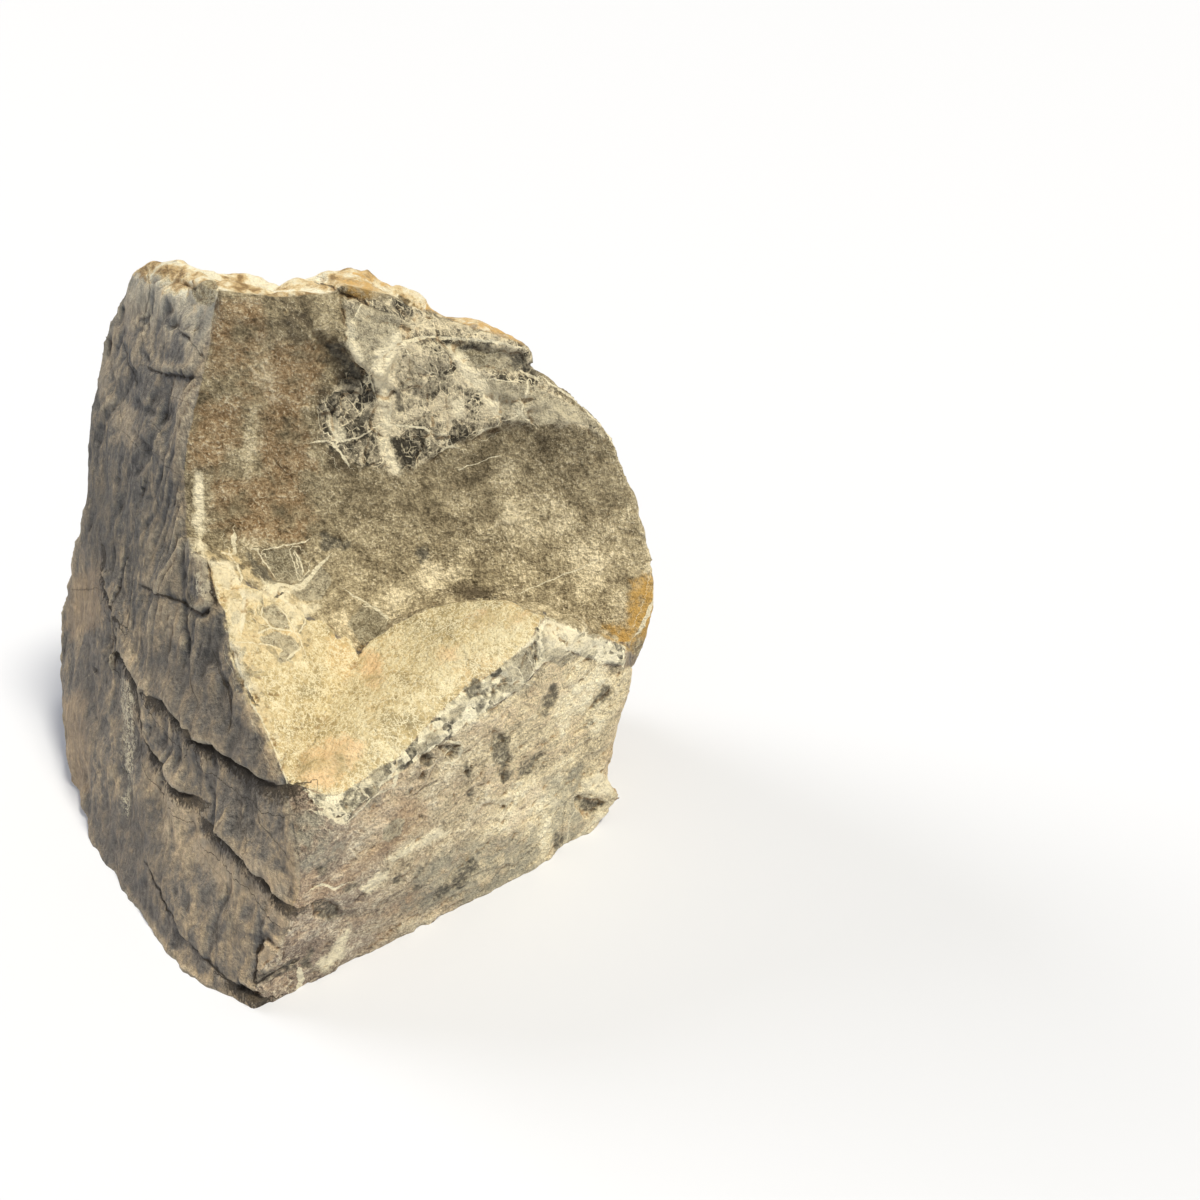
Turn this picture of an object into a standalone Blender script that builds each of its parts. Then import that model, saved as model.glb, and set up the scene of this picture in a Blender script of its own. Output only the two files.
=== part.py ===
"""Aquascaping rock: one loose block of grey limestone that stands on a flat underside.

The block is made of a few convex lumps joined together: a tall slab at the back, a low block in front of it with a
sloping ledge on top, a ramp between the two on the left, a hump on the crest and a knob at the right end. Between
the slab, the ramp and the ledge lies the broken hollow. Weathering, folds and cracks are then worked into the
surface, and the underside is cut flat.

Units are metres, +Z is up, and the origin is the middle of the underside.
"""

import math

import bmesh
import bpy
from mathutils import Vector, noise

MM = 0.001

# Where the near bottom corner stands in the rock's own frame. Every corner below is in millimetres from it,
# with X to the right, Y to the back and Z up.
NEAR_CORNER = Vector((-11.0, -81.5, 0.0))

# How far the lumps reach below the underside before it is cut flat.
FOOT_DEPTH = 4.0

# Corners that more than one lump shares.
NOTCH = (14.0, 19.5, 63.5)
VALLEY_HEAD = (26.0, 66.0, 73.0)
ARRIS_FOOT = (-11.0, 60.5, 107.0)
LEFT_FOOT = (-33.0, 24.5, 0.0)

# The tall slab at the back. Its front is the broken back wall of the hollow.
SLAB_TOP = [
    (-3.0, 86.0, 173.0),
    (-17.5, 102.0, 174.5),
    (-27.0, 111.0, 173.5),
    (-40.5, 122.5, 169.5),
    (-8.0, 108.0, 169.5),
    (11.0, 112.0, 169.5),
    (27.0, 99.0, 168.5),
    (40.5, 103.5, 164.5),
    (38.0, 120.0, 162.0),
    (53.5, 106.5, 157.5),
    (52.0, 118.0, 155.5),
    (68.0, 112.0, 148.0),
]
SLAB_RIGHT_EDGE = [
    (77.5, 111.0, 138.5),
    (86.0, 112.5, 135.5),
    (95.0, 113.0, 127.5),
    (100.0, 112.5, 120.5),
    (103.0, 111.5, 112.0),
    (108.5, 107.5, 95.0),
    (112.0, 104.5, 82.0),
    (112.5, 101.0, 71.0),
    (111.0, 98.0, 64.0),
    (104.5, 92.5, 58.0),
]
SLAB_LEFT_EDGE = [
    (-48.0, 125.0, 156.0),
    (-55.0, 128.0, 146.0),
    (-59.5, 125.5, 127.0),
    (-64.5, 118.0, 98.0),
    (-72.0, 112.0, 60.0),
    (-49.0, 76.5, 48.5),
    (-16.0, 72.0, 124.0),
    (-16.0, 65.0, 112.0),
    ARRIS_FOOT,
]
SLAB_BACK = [
    (-50.0, 145.0, 130.0),
    (-30.0, 148.0, 146.0),
    (14.0, 144.0, 148.0),
    (20.0, 153.0, 96.0),
    (58.0, 141.0, 128.0),
    (98.0, 136.0, 90.0),
    (108.0, 130.0, 62.0),
    (-70.0, 141.0, 60.0),
]
SLAB_FOOT = [
    LEFT_FOOT,
    (-49.0, 46.0, 0.0),
    (-70.0, 90.0, 0.0),
    (-68.0, 140.0, 0.0),
    (-26.0, 157.0, 0.0),
    (34.0, 160.0, 0.0),
    (73.0, 149.0, 0.0),
    (90.0, 128.0, 0.0),
    (93.0, 103.0, 0.0),
]

# The brown weathered shoulder at the foot of the left end.
SHOULDER = [
    (-65.0, 117.0, 95.0),
    (-52.5, 86.0, 60.5),
    (-48.5, 76.5, 48.5),
    (-40.0, 57.5, 25.5),
    LEFT_FOOT,
    (-51.5, 44.0, 0.0),
    (-67.5, 63.0, 0.0),
    (-81.5, 90.0, 0.0),
    (-88.0, 101.0, 9.0),
    (-91.0, 114.0, 24.0),
    (-87.0, 123.5, 50.0),
    (-75.0, 121.0, 76.5),
    (-84.0, 118.0, 0.0),
    (-85.0, 142.0, 38.0),
    (-67.0, 148.0, 0.0),
    (-62.0, 146.0, 74.0),
    (-40.0, 120.0, 20.0),
    (-40.0, 120.0, 0.0),
]

# The rib down the back, which the slab broke along.
BACK_RIB = [
    (-34.0, 138.0, 150.0),
    (6.0, 136.0, 156.0),
    (-4.0, 152.0, 128.0),
    (24.0, 151.0, 118.0),
    (-36.0, 156.0, 84.0),
    (34.0, 160.0, 62.0),
    (-12.0, 163.0, 40.0),
    (-30.0, 160.0, 0.0),
    (22.0, 163.5, 0.0),
    (-24.0, 120.0, 60.0),
    (20.0, 120.0, 0.0),
]

# The weathered crust along the top, which overhangs the back wall a little at its right end.
CRUST = [
    (26.0, 98.0, 170.5),
    (40.5, 102.0, 166.0),
    (53.5, 105.5, 159.0),
    (74.5, 110.5, 149.0),
    (41.0, 101.0, 156.5),
    (50.0, 103.0, 155.0),
    (76.0, 111.5, 144.0),
    (75.0, 117.0, 147.0),
    (52.0, 118.5, 157.5),
    (37.0, 120.0, 164.5),
    (20.0, 112.0, 168.0),
    (30.0, 132.0, 150.0),
    (62.0, 130.0, 138.0),
    (34.0, 112.0, 148.0),
]

# The fresh grey facet that stands out of the back wall under the crust.
FRESH_FACET = [
    (24.0, 96.5, 167.5),
    (40.0, 100.0, 163.0),
    (25.5, 92.0, 155.0),
    (31.5, 91.5, 150.0),
    (40.0, 98.0, 155.0),
    (35.5, 92.5, 146.0),
    (30.0, 112.0, 160.0),
    (36.0, 108.0, 140.0),
]

# The low block in front. Its top is the ledge, which falls from the peak towards the notch.
LEDGE_PEAK = (80.0, 64.0, 87.0)
LEDGE_OUTER_EDGE = [
    NOTCH,
    (28.5, 18.0, 60.5),
    (52.5, 38.0, 71.0),
    (66.0, 48.5, 77.5),
    (77.5, 58.0, 83.5),
    LEDGE_PEAK,
    (90.0, 67.5, 79.5),
    (98.5, 74.5, 72.0),
    (103.0, 78.0, 65.5),
]
LEDGE_INNER_EDGE = [
    VALLEY_HEAD,
    (33.0, 71.5, 76.5),
    (44.5, 75.0, 82.0),
    (52.0, 75.5, 84.0),
    (61.0, 74.5, 86.0),
    (67.0, 73.0, 87.0),
    (74.0, 69.0, 87.0),
]
BLOCK_NEAR_EDGE = [
    (18.5, 6.5, 49.0),
    (17.5, 4.5, 38.0),
]
BLOCK_RIGHT_EDGE = [
    (104.0, 78.5, 53.0),
    (102.0, 77.0, 42.5),
    (97.0, 73.0, 27.5),
]
BLOCK_BACK = [
    (20.0, 84.0, 40.0),
    (60.0, 100.0, 50.0),
    (104.5, 93.0, 56.5),
    (103.0, 108.0, 42.0),
    (94.0, 106.0, 0.0),
    (0.0, 80.0, 0.0),
]
BLOCK_FOOT = [
    (0.0, 0.0, 0.0),
    (-17.0, 10.0, 0.0),
    LEFT_FOOT,
    (44.0, 34.0, 0.0),
    (72.5, 50.5, 0.0),
    (94.5, 77.0, 0.0),
]

# The ramp that falls from the sharp left edge of the hollow to the valley.
RAMP = [
    ARRIS_FOOT,
    (0.0, 39.5, 84.5),
    (7.0, 29.0, 78.0),
    NOTCH,
    VALLEY_HEAD,
    (10.0, 84.0, 90.0),
    (18.5, 6.5, 49.0),
    (0.0, 0.0, 0.0),
    (-17.0, 10.0, 0.0),
    LEFT_FOOT,
    (30.0, 45.0, 0.0),
    (10.0, 90.0, 0.0),
]

# The piece of the left face that carries on from the sharp edge of the slab to the edge of the ramp.
LEFT_STEP = [
    (-16.0, 65.0, 112.0),
    (-17.0, 68.0, 108.0),
    ARRIS_FOOT,
    (-6.0, 51.0, 96.5),
    (0.0, 39.5, 84.5),
    (-22.0, 62.0, 85.0),
    (-30.0, 66.0, 70.0),
    (-20.0, 48.0, 60.0),
    (0.0, 60.0, 90.0),
    (-5.0, 70.0, 100.0),
]

# The hump on the crest, and the knob at the foot of the right end.
HUMP = [
    (13.0, 110.0, 167.0),
    (19.0, 118.0, 169.5),
    (24.5, 120.0, 170.0),
    (29.0, 120.0, 169.5),
    (36.0, 120.0, 165.5),
    (18.0, 101.0, 168.0),
    (27.0, 99.5, 170.0),
    (38.0, 106.0, 165.0),
    (22.0, 130.0, 162.0),
    (26.0, 112.0, 150.0),
]
KNOB = [
    (92.5, 69.0, 26.5),
    (96.0, 72.0, 23.0),
    (102.0, 76.5, 9.0),
    (100.5, 75.0, 12.5),
    (97.0, 75.5, 2.0),
    (88.0, 68.0, 0.0),
    (85.0, 61.0, 15.0),
    (94.0, 84.0, 20.0),
    (92.0, 84.0, 0.0),
]

# The shallow dish that the break left in the back wall, cut by a large squashed ball.
DISH_DEPTH = 8.0
DISH_MIDDLE = Vector((44.0, 84.5, 104.0))
DISH_RADII = (185.0, 62.0, 94.0)
DISH_TILT = math.radians(-18.3)
DISH_ROLL = math.radians(15.0)
DISH_TURN = math.radians(19.0)

# Cracks in the left face and the scratch on the back wall: a line of points, half width and depth.
CRACKS = [
    ([(-36.0, 68.0, 52.0), (-25.0, 53.0, 53.0), (-12.0, 41.0, 58.0), (3.0, 24.0, 62.0), (15.0, 15.0, 66.0)], 2.2, 2.6),
    ([(-43.0, 73.0, 50.0), (-37.0, 61.0, 34.0), (-25.0, 47.0, 34.0)], 2.0, 1.8),
    ([(-22.0, 41.0, 30.0), (-9.0, 26.0, 30.0), (4.0, 11.0, 30.0), (15.0, 2.0, 38.0)], 2.2, 2.4),
    ([(-17.0, 70.0, 110.0), (-11.0, 58.0, 98.0), (-8.0, 54.0, 92.0)], 1.8, 1.6),
]

# Surface relief, in millimetres: the long swells, the lumps on them, and on the hidden sides the broken steps.
SWELL_SIZE = 46.0
SWELL_HEIGHT = 2.0
LUMP_SIZE = 15.0
LUMP_HEIGHT = 0.7
BREAK_GAIN = 0.5
STEP_SIZE = 30.0
STEP_RANGE = 5.0
STEP_HEIGHT = 1.6

# The upright folds of the left face.
FOLD_WIDTH = 6.5
FOLD_LENGTH = 48.0
FOLD_DEPTH = 1.1

VOXEL = 1.7
WORN_PASSES = 2
TRIANGLES = 8200

STONE_COLOUR = (0.27, 0.235, 0.17, 1.0)
STONE_ROUGHNESS = 0.86


def clear_scene():
    for obj in list(bpy.data.objects):
        bpy.data.objects.remove(obj, do_unlink=True)


def new_collection(name):
    collection = bpy.data.collections.new(name)
    bpy.context.scene.collection.children.link(collection)
    return collection


def in_frame(corner):
    """A corner given from the near bottom corner, as a point of the rock's frame in metres."""
    return (Vector(corner) + NEAR_CORNER) * MM


def lump(name, corners, collection):
    """The convex body around some corners. Those on the ground are carried down below the underside."""
    points = [in_frame(corner) for corner in corners]
    for point in list(points):
        if point.z == 0.0:
            points.append(point - Vector((0.0, 0.0, FOOT_DEPTH * MM)))
    shape = bmesh.new()
    for point in points:
        shape.verts.new(point)
    hull = bmesh.ops.convex_hull(shape, input=shape.verts)
    spare = [item for item in hull["geom_interior"] if isinstance(item, bmesh.types.BMVert)]
    bmesh.ops.delete(shape, geom=spare, context="VERTS")
    bmesh.ops.recalc_face_normals(shape, faces=shape.faces)
    mesh = bpy.data.meshes.new(name)
    shape.to_mesh(mesh)
    shape.free()
    obj = bpy.data.objects.new(name, mesh)
    collection.objects.link(obj)
    return obj


def dish(name, collection):
    """A squashed ball that takes the shallow hollow out of the back wall."""
    mesh = bpy.data.meshes.new(name)
    shape = bmesh.new()
    bmesh.ops.create_uvsphere(shape, u_segments=96, v_segments=48, radius=1.0)
    bmesh.ops.scale(shape, vec=Vector(DISH_RADII) * MM, verts=shape.verts)
    shape.to_mesh(mesh)
    shape.free()
    obj = bpy.data.objects.new(name, mesh)
    obj.rotation_mode = "YXZ"
    obj.rotation_euler = (DISH_TILT, DISH_ROLL, DISH_TURN)
    outward = obj.rotation_euler.to_matrix() @ Vector((0.0, -1.0, 0.0))
    obj.location = in_frame(DISH_MIDDLE + outward * (DISH_RADII[1] - DISH_DEPTH))
    collection.objects.link(obj)
    return obj


def add_boolean(obj, other, operation):
    modifier = obj.modifiers.new(other.name, "BOOLEAN")
    modifier.operation = operation
    modifier.solver = "EXACT"
    modifier.object = other
    return modifier


def keep_as_helper(obj):
    obj.hide_render = True
    obj.display_type = "WIRE"


def bake_modifiers(obj):
    """Replaces the object's mesh with the one that its modifiers make."""
    bpy.context.view_layer.update()
    graph = bpy.context.evaluated_depsgraph_get()
    mesh = bpy.data.meshes.new_from_object(obj.evaluated_get(graph))
    obj.modifiers.clear()
    obj.data = mesh


def distance_to_line(point, line):
    """The shortest distance from a point to a broken line."""
    best = 1.0e9
    for start, end in zip(line[:-1], line[1:]):
        run = end - start
        along = max(0.0, min(1.0, (point - start).dot(run) / run.length_squared))
        best = min(best, (start + run * along - point).length)
    return best


def clamp(value):
    return max(0.0, min(1.0, value))


def stepped(value, step):
    """A height drawn towards the nearest whole step, so that a slope turns into ledges with worn edges."""
    whole = math.floor(value / step)
    part = value / step - whole
    return step * (whole + clamp((part - 0.5) * 1.9 + 0.5))


def relief(point, normal):
    """How far the weathered surface stands out at a point, in millimetres. Both are in the rock's frame."""
    spot = point / MM
    broken = clamp(2.2 * (0.35 * normal.x - 0.86 * normal.y + 0.32 * normal.z) - 0.9)
    hidden = clamp(1.6 * normal.y + 0.2)
    left = clamp(-1.6 * normal.x - 0.5 * normal.y - 0.3) * clamp(spot.z / 30.0 - 0.3)
    swell = noise.fractal(spot / SWELL_SIZE + Vector((3.1, 7.7, 1.9)), 0.9, 2.1, 3)
    lumps = noise.noise(spot / LUMP_SIZE + Vector((11.3, 2.4, 5.8)))
    height = (1.0 - broken * (1.0 - BREAK_GAIN)) * (SWELL_HEIGHT * swell + LUMP_HEIGHT * lumps)
    ledges = noise.fractal(spot / STEP_SIZE + Vector((5.0, 1.0, 8.0)), 1.0, 2.0, 3)
    height += hidden * stepped(STEP_RANGE * ledges, STEP_HEIGHT)
    across = spot.x * 0.67 - spot.y * 0.74 + 4.0 * noise.noise(spot / 30.0)
    fold = abs(noise.noise(Vector((across / FOLD_WIDTH, 4.0, spot.z / FOLD_LENGTH))))
    return height - left * FOLD_DEPTH * clamp(1.0 - 3.0 * fold)


def weather(obj):
    """Pushes the surface in and out along its normals, and sinks the cracks into it."""
    cracks = [([in_frame(corner) for corner in line], half * MM, depth) for line, half, depth in CRACKS]
    shape = bmesh.new()
    shape.from_mesh(obj.data)
    shape.normal_update()
    moves = []
    for vert in shape.verts:
        height = relief(vert.co, vert.normal)
        for line, half, depth in cracks:
            off = distance_to_line(vert.co, line) / (1.6 * half)
            height -= depth * max(0.0, 1.0 - off)
        moves.append(vert.normal * (height * MM))
    for vert, move in zip(shape.verts, moves):
        vert.co += move
    shape.to_mesh(obj.data)
    shape.free()


def cut_flat(obj):
    """Cuts the underside flat at Z = 0 and closes it with a real face."""
    shape = bmesh.new()
    shape.from_mesh(obj.data)
    everything = list(shape.verts) + list(shape.edges) + list(shape.faces)
    bmesh.ops.bisect_plane(
        shape,
        geom=everything,
        dist=1.0e-6,
        plane_co=(0.0, 0.0, 0.0),
        plane_no=(0.0, 0.0, 1.0),
        clear_inner=True,
    )
    rim = [edge for edge in shape.edges if edge.is_boundary]
    bmesh.ops.contextual_create(shape, geom=rim)
    bmesh.ops.triangulate(shape, faces=[face for face in shape.faces if len(face.verts) > 3])
    bmesh.ops.recalc_face_normals(shape, faces=shape.faces)
    shape.to_mesh(obj.data)
    shape.free()


def stone_material():
    material = bpy.data.materials.new("grey_limestone")
    material.use_nodes = True
    shader = material.node_tree.nodes["Principled BSDF"]
    shader.inputs["Base Color"].default_value = STONE_COLOUR
    shader.inputs["Roughness"].default_value = STONE_ROUGHNESS
    shader.inputs["Metallic"].default_value = 0.0
    material.diffuse_color = STONE_COLOUR
    return material


def build():
    clear_scene()
    parts = new_collection("aquascaping_rock")
    helpers = new_collection("lumps_and_cutters")

    stone = lump("stone", SLAB_TOP + SLAB_RIGHT_EDGE + SLAB_LEFT_EDGE + SLAB_BACK + SLAB_FOOT, parts)
    block = lump(
        "front_block",
        LEDGE_OUTER_EDGE + LEDGE_INNER_EDGE + BLOCK_NEAR_EDGE + BLOCK_RIGHT_EDGE + BLOCK_BACK + BLOCK_FOOT,
        helpers,
    )
    ramp = lump("ramp", RAMP, helpers)
    shoulder = lump("shoulder", SHOULDER, helpers)
    crust = lump("crust", CRUST, helpers)
    facet = lump("fresh_facet", FRESH_FACET, helpers)
    hump = lump("hump", HUMP, helpers)
    knob = lump("knob", KNOB, helpers)
    hollow = dish("dish", helpers)
    rib = lump("back_rib", BACK_RIB, helpers)
    step = lump("left_step", LEFT_STEP, helpers)
    lumps = (block, ramp, shoulder, crust, facet, hump, knob, rib, step)

    add_boolean(stone, hollow, "DIFFERENCE")
    for helper in lumps:
        add_boolean(stone, helper, "UNION")
    remesh = stone.modifiers.new("one_skin", "REMESH")
    remesh.mode = "VOXEL"
    remesh.voxel_size = VOXEL * MM
    bake_modifiers(stone)
    for helper in (*lumps, hollow):
        keep_as_helper(helper)

    weather(stone)
    wear = stone.modifiers.new("worn_edges", "SMOOTH")
    wear.factor = 0.5
    wear.iterations = WORN_PASSES
    thin = stone.modifiers.new("fewer_faces", "DECIMATE")
    thin.ratio = TRIANGLES / (2.0 * len(stone.data.polygons))
    thin.use_collapse_triangulate = True
    bake_modifiers(stone)
    cut_flat(stone)

    stone.data.materials.clear()
    stone.data.materials.append(stone_material())


build()
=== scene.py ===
"""Aquascaping rock: one loose block of veined grey limestone with a broken hollow in its front.

The block is put together again from the same few convex lumps as its solid, at a finer grain. The broken and
weathered surfaces are then worked into it: folds, cracks, chips, broken fragments, pits and veins. Where a feature
is placed by the picture, its points are pixels of the 1200 x 1200 picture and are carried onto the rock along the
camera's rays, so that they sit on the surface from every side.

The frame is in metres, +Z is up. Sizes below are in millimetres unless the name says otherwise.
"""

import math

import bmesh
import bpy
import numpy as np
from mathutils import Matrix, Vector, noise
from mathutils.kdtree import KDTree


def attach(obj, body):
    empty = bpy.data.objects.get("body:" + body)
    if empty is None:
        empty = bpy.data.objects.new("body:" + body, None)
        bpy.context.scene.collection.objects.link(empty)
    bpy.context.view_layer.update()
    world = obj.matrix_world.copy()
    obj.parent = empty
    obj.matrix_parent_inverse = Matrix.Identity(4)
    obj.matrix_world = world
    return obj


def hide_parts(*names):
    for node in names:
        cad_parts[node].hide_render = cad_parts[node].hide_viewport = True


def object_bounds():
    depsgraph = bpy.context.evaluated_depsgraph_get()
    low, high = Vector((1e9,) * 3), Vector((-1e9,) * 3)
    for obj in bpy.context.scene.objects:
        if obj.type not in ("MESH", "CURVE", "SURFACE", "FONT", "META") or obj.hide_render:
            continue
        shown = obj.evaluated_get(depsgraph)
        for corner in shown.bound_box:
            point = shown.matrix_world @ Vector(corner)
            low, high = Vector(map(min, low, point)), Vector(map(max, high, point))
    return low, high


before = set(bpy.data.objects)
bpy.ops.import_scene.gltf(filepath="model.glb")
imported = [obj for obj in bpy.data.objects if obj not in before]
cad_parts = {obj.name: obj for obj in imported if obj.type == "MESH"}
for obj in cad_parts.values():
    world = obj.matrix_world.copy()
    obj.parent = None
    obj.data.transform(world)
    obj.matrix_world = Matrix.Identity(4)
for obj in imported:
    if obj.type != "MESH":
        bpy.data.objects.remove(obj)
cad_low, cad_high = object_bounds()

MM = 0.001

# ---------------------------------------------------------------------------------------------------------------
# The camera, and where a pixel of the picture lies on the rock
# ---------------------------------------------------------------------------------------------------------------

PICTURE = 1200.0
LENS = 36.0
SENSOR = 36.0
CAMERA_PLACE = (84.60879, -301.54329, 270.0)
CAMERA_PITCH = math.radians(32.0)

PIXELS = PICTURE * LENS / SENSOR
EYE = np.array(CAMERA_PLACE)
RIGHT = np.array([1.0, 0.0, 0.0])
UP = np.array([0.0, math.sin(CAMERA_PITCH), math.cos(CAMERA_PITCH)])
AHEAD = np.array([0.0, math.cos(CAMERA_PITCH), -math.sin(CAMERA_PITCH)])


def to_picture(points):
    """Pixel columns and rows of some points, and how far ahead of the camera each lies."""
    away = points - EYE
    ahead = away @ AHEAD
    column = PICTURE / 2 + PIXELS * (away @ RIGHT) / ahead
    row = PICTURE / 2 - PIXELS * (away @ UP) / ahead
    return column, row, ahead


def ray_through(pixel):
    """The direction of the camera's ray through a pixel."""
    column, row = pixel
    ray = RIGHT * ((column - PICTURE / 2) / PIXELS) - UP * ((row - PICTURE / 2) / PIXELS) + AHEAD
    return ray / np.linalg.norm(ray)


# ---------------------------------------------------------------------------------------------------------------
# The lumps of the solid, from its near bottom corner
# ---------------------------------------------------------------------------------------------------------------

NEAR_CORNER = np.array([-11.0, -81.5, 0.0])
FOOT_DEPTH = 4.0
NOTCH = (14.0, 19.5, 63.5)
VALLEY_HEAD = (26.0, 66.0, 73.0)
ARRIS_FOOT = (-11.0, 60.5, 107.0)
LEFT_FOOT = (-33.0, 24.5, 0.0)

SLAB = [
    (-3, 86, 173), (-17.5, 102, 174.5), (-27, 111, 173.5), (-40.5, 122.5, 169.5), (-8, 108, 169.5),
    (11, 112, 169.5), (27, 99, 168.5), (40.5, 103.5, 164.5), (38, 120, 162), (53.5, 106.5, 157.5),
    (52, 118, 155.5), (68, 112, 148), (77.5, 111, 138.5), (86, 112.5, 135.5), (95, 113, 127.5),
    (100, 112.5, 120.5), (103, 111.5, 112), (108.5, 107.5, 95), (112, 104.5, 82), (112.5, 101, 71), (111, 98, 64),
    (104.5, 92.5, 58), (-48, 125, 156), (-55, 128, 146), (-59.5, 125.5, 127), (-64.5, 118, 98), (-72, 112, 60),
    (-49, 76.5, 48.5), (-16, 72, 124), (-16, 65, 112), ARRIS_FOOT, (-50, 145, 130), (-30, 148, 146),
    (14, 144, 148), (20, 153, 96), (58, 141, 128), (98, 136, 90), (108, 130, 62), (-70, 141, 60), LEFT_FOOT,
    (-49, 46, 0), (-70, 90, 0), (-68, 140, 0), (-26, 157, 0), (34, 160, 0), (73, 149, 0), (90, 128, 0),
    (93, 103, 0),
]
LUMPS = {
    "front_block": [
        NOTCH, (28.5, 18, 60.5), (52.5, 38, 71), (66, 48.5, 77.5), (77.5, 58, 83.5), (80, 64, 87),
        (90, 67.5, 79.5), (98.5, 74.5, 72), (103, 78, 65.5), VALLEY_HEAD, (33, 71.5, 76.5), (44.5, 75, 82),
        (52, 75.5, 84), (61, 74.5, 86), (67, 73, 87), (74, 69, 87), (18.5, 6.5, 49), (17.5, 4.5, 38),
        (104, 78.5, 53), (102, 77, 42.5), (97, 73, 27.5), (20, 84, 40), (60, 100, 50), (104.5, 93, 56.5),
        (103, 108, 42), (94, 106, 0), (0, 80, 0), (0, 0, 0), (-17, 10, 0), LEFT_FOOT, (44, 34, 0), (72.5, 50.5, 0),
        (94.5, 77, 0),
    ],
    "ramp": [
        ARRIS_FOOT, (0, 39.5, 84.5), (7, 29, 78), NOTCH, VALLEY_HEAD, (10, 84, 90), (18.5, 6.5, 49), (0, 0, 0),
        (-17, 10, 0), LEFT_FOOT, (30, 45, 0), (10, 90, 0),
    ],
    "shoulder": [
        (-65, 117, 95), (-52.5, 86, 60.5), (-48.5, 76.5, 48.5), (-40, 57.5, 25.5), LEFT_FOOT, (-51.5, 44, 0),
        (-67.5, 63, 0), (-81.5, 90, 0), (-88, 101, 9), (-91, 114, 24), (-87, 123.5, 50), (-75, 121, 76.5),
        (-84, 118, 0), (-85, 142, 38), (-67, 148, 0), (-62, 146, 74), (-40, 120, 20), (-40, 120, 0),
    ],
    "crust": [
        (26, 98, 170.5), (40.5, 102, 166), (53.5, 105.5, 159), (74.5, 110.5, 149), (41, 101, 156.5),
        (50, 103, 155), (76, 111.5, 144), (75, 117, 147), (52, 118.5, 157.5), (37, 120, 164.5), (20, 112, 168),
        (30, 132, 150), (62, 130, 138), (34, 112, 148),
    ],
    "fresh_facet": [
        (24, 96.5, 167.5), (40, 100, 163), (25.5, 92, 155), (31.5, 91.5, 150), (40, 98, 155), (35.5, 92.5, 146),
        (30, 112, 160), (36, 108, 140),
    ],
    "hump": [
        (13, 110, 167), (19, 118, 169.5), (24.5, 120, 170), (29, 120, 169.5), (36, 120, 165.5), (18, 101, 168),
        (27, 99.5, 170), (38, 106, 165), (22, 130, 162), (26, 112, 150),
    ],
    "knob": [
        (92.5, 69, 26.5), (96, 72, 23), (102, 76.5, 9), (100.5, 75, 12.5), (97, 75.5, 2), (88, 68, 0),
        (85, 61, 15), (94, 84, 20), (92, 84, 0),
    ],
    "left_step": [
        (-16, 65, 112), (-17, 68, 108), ARRIS_FOOT, (-6, 51, 96.5), (0, 39.5, 84.5), (-22, 62, 85), (-30, 66, 70),
        (-20, 48, 60), (0, 60, 90), (-5, 70, 100),
    ],
    "back_rib": [
        (-34, 138, 150), (6, 136, 156), (-4, 152, 128), (24, 151, 118), (-36, 156, 84), (34, 160, 62),
        (-12, 163, 40), (-30, 160, 0), (22, 163.5, 0), (-24, 120, 60), (20, 120, 0),
    ],
}

DISH_DEPTH = 8.0
DISH_MIDDLE = Vector((44.0, 84.5, 104.0))
DISH_RADII = (185.0, 62.0, 94.0)
DISH_TURNS = (math.radians(-18.3), math.radians(15.0), math.radians(19.0))

VOXEL = 1.0


def new_object(name, data):
    obj = bpy.data.objects.new(name, data)
    bpy.context.scene.collection.objects.link(obj)
    return obj


def rows_of(items, field, width, kind=np.float32):
    """One field of a mesh's points or faces, as rows of numbers."""
    found = np.empty(len(items) * width, kind)
    items.foreach_get(field, found)
    return found.reshape(-1, width)


def evaluated_mesh(obj):
    """The mesh that an object's modifiers make."""
    bpy.context.view_layer.update()
    return bpy.data.meshes.new_from_object(obj.evaluated_get(bpy.context.evaluated_depsgraph_get()))


def lump(name, corners):
    """The convex body around some corners. Those on the ground are carried down below the underside."""
    points = [np.array(corner) + NEAR_CORNER for corner in corners]
    points += [point - (0.0, 0.0, FOOT_DEPTH) for point in points if point[2] == 0.0]
    shape = bmesh.new()
    for point in points:
        shape.verts.new(point * MM)
    hull = bmesh.ops.convex_hull(shape, input=shape.verts)
    spare = [item for item in hull["geom_interior"] if isinstance(item, bmesh.types.BMVert)]
    bmesh.ops.delete(shape, geom=spare, context="VERTS")
    bmesh.ops.recalc_face_normals(shape, faces=shape.faces)
    mesh = bpy.data.meshes.new(name)
    shape.to_mesh(mesh)
    shape.free()
    return new_object(name, mesh)


def dish():
    """The large ball that hollows out the back wall."""
    shape = bmesh.new()
    bmesh.ops.create_uvsphere(shape, u_segments=192, v_segments=96, radius=1.0)
    bmesh.ops.scale(shape, vec=Vector(DISH_RADII) * MM, verts=shape.verts)
    mesh = bpy.data.meshes.new("dish")
    shape.to_mesh(mesh)
    shape.free()
    obj = new_object("dish", mesh)
    obj.rotation_mode = "YXZ"
    obj.rotation_euler = DISH_TURNS
    opening = obj.rotation_euler.to_matrix() @ Vector((0.0, -1.0, 0.0))
    obj.location = (DISH_MIDDLE + Vector(NEAR_CORNER) + opening * (DISH_RADII[1] - DISH_DEPTH)) * MM
    return obj


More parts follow.
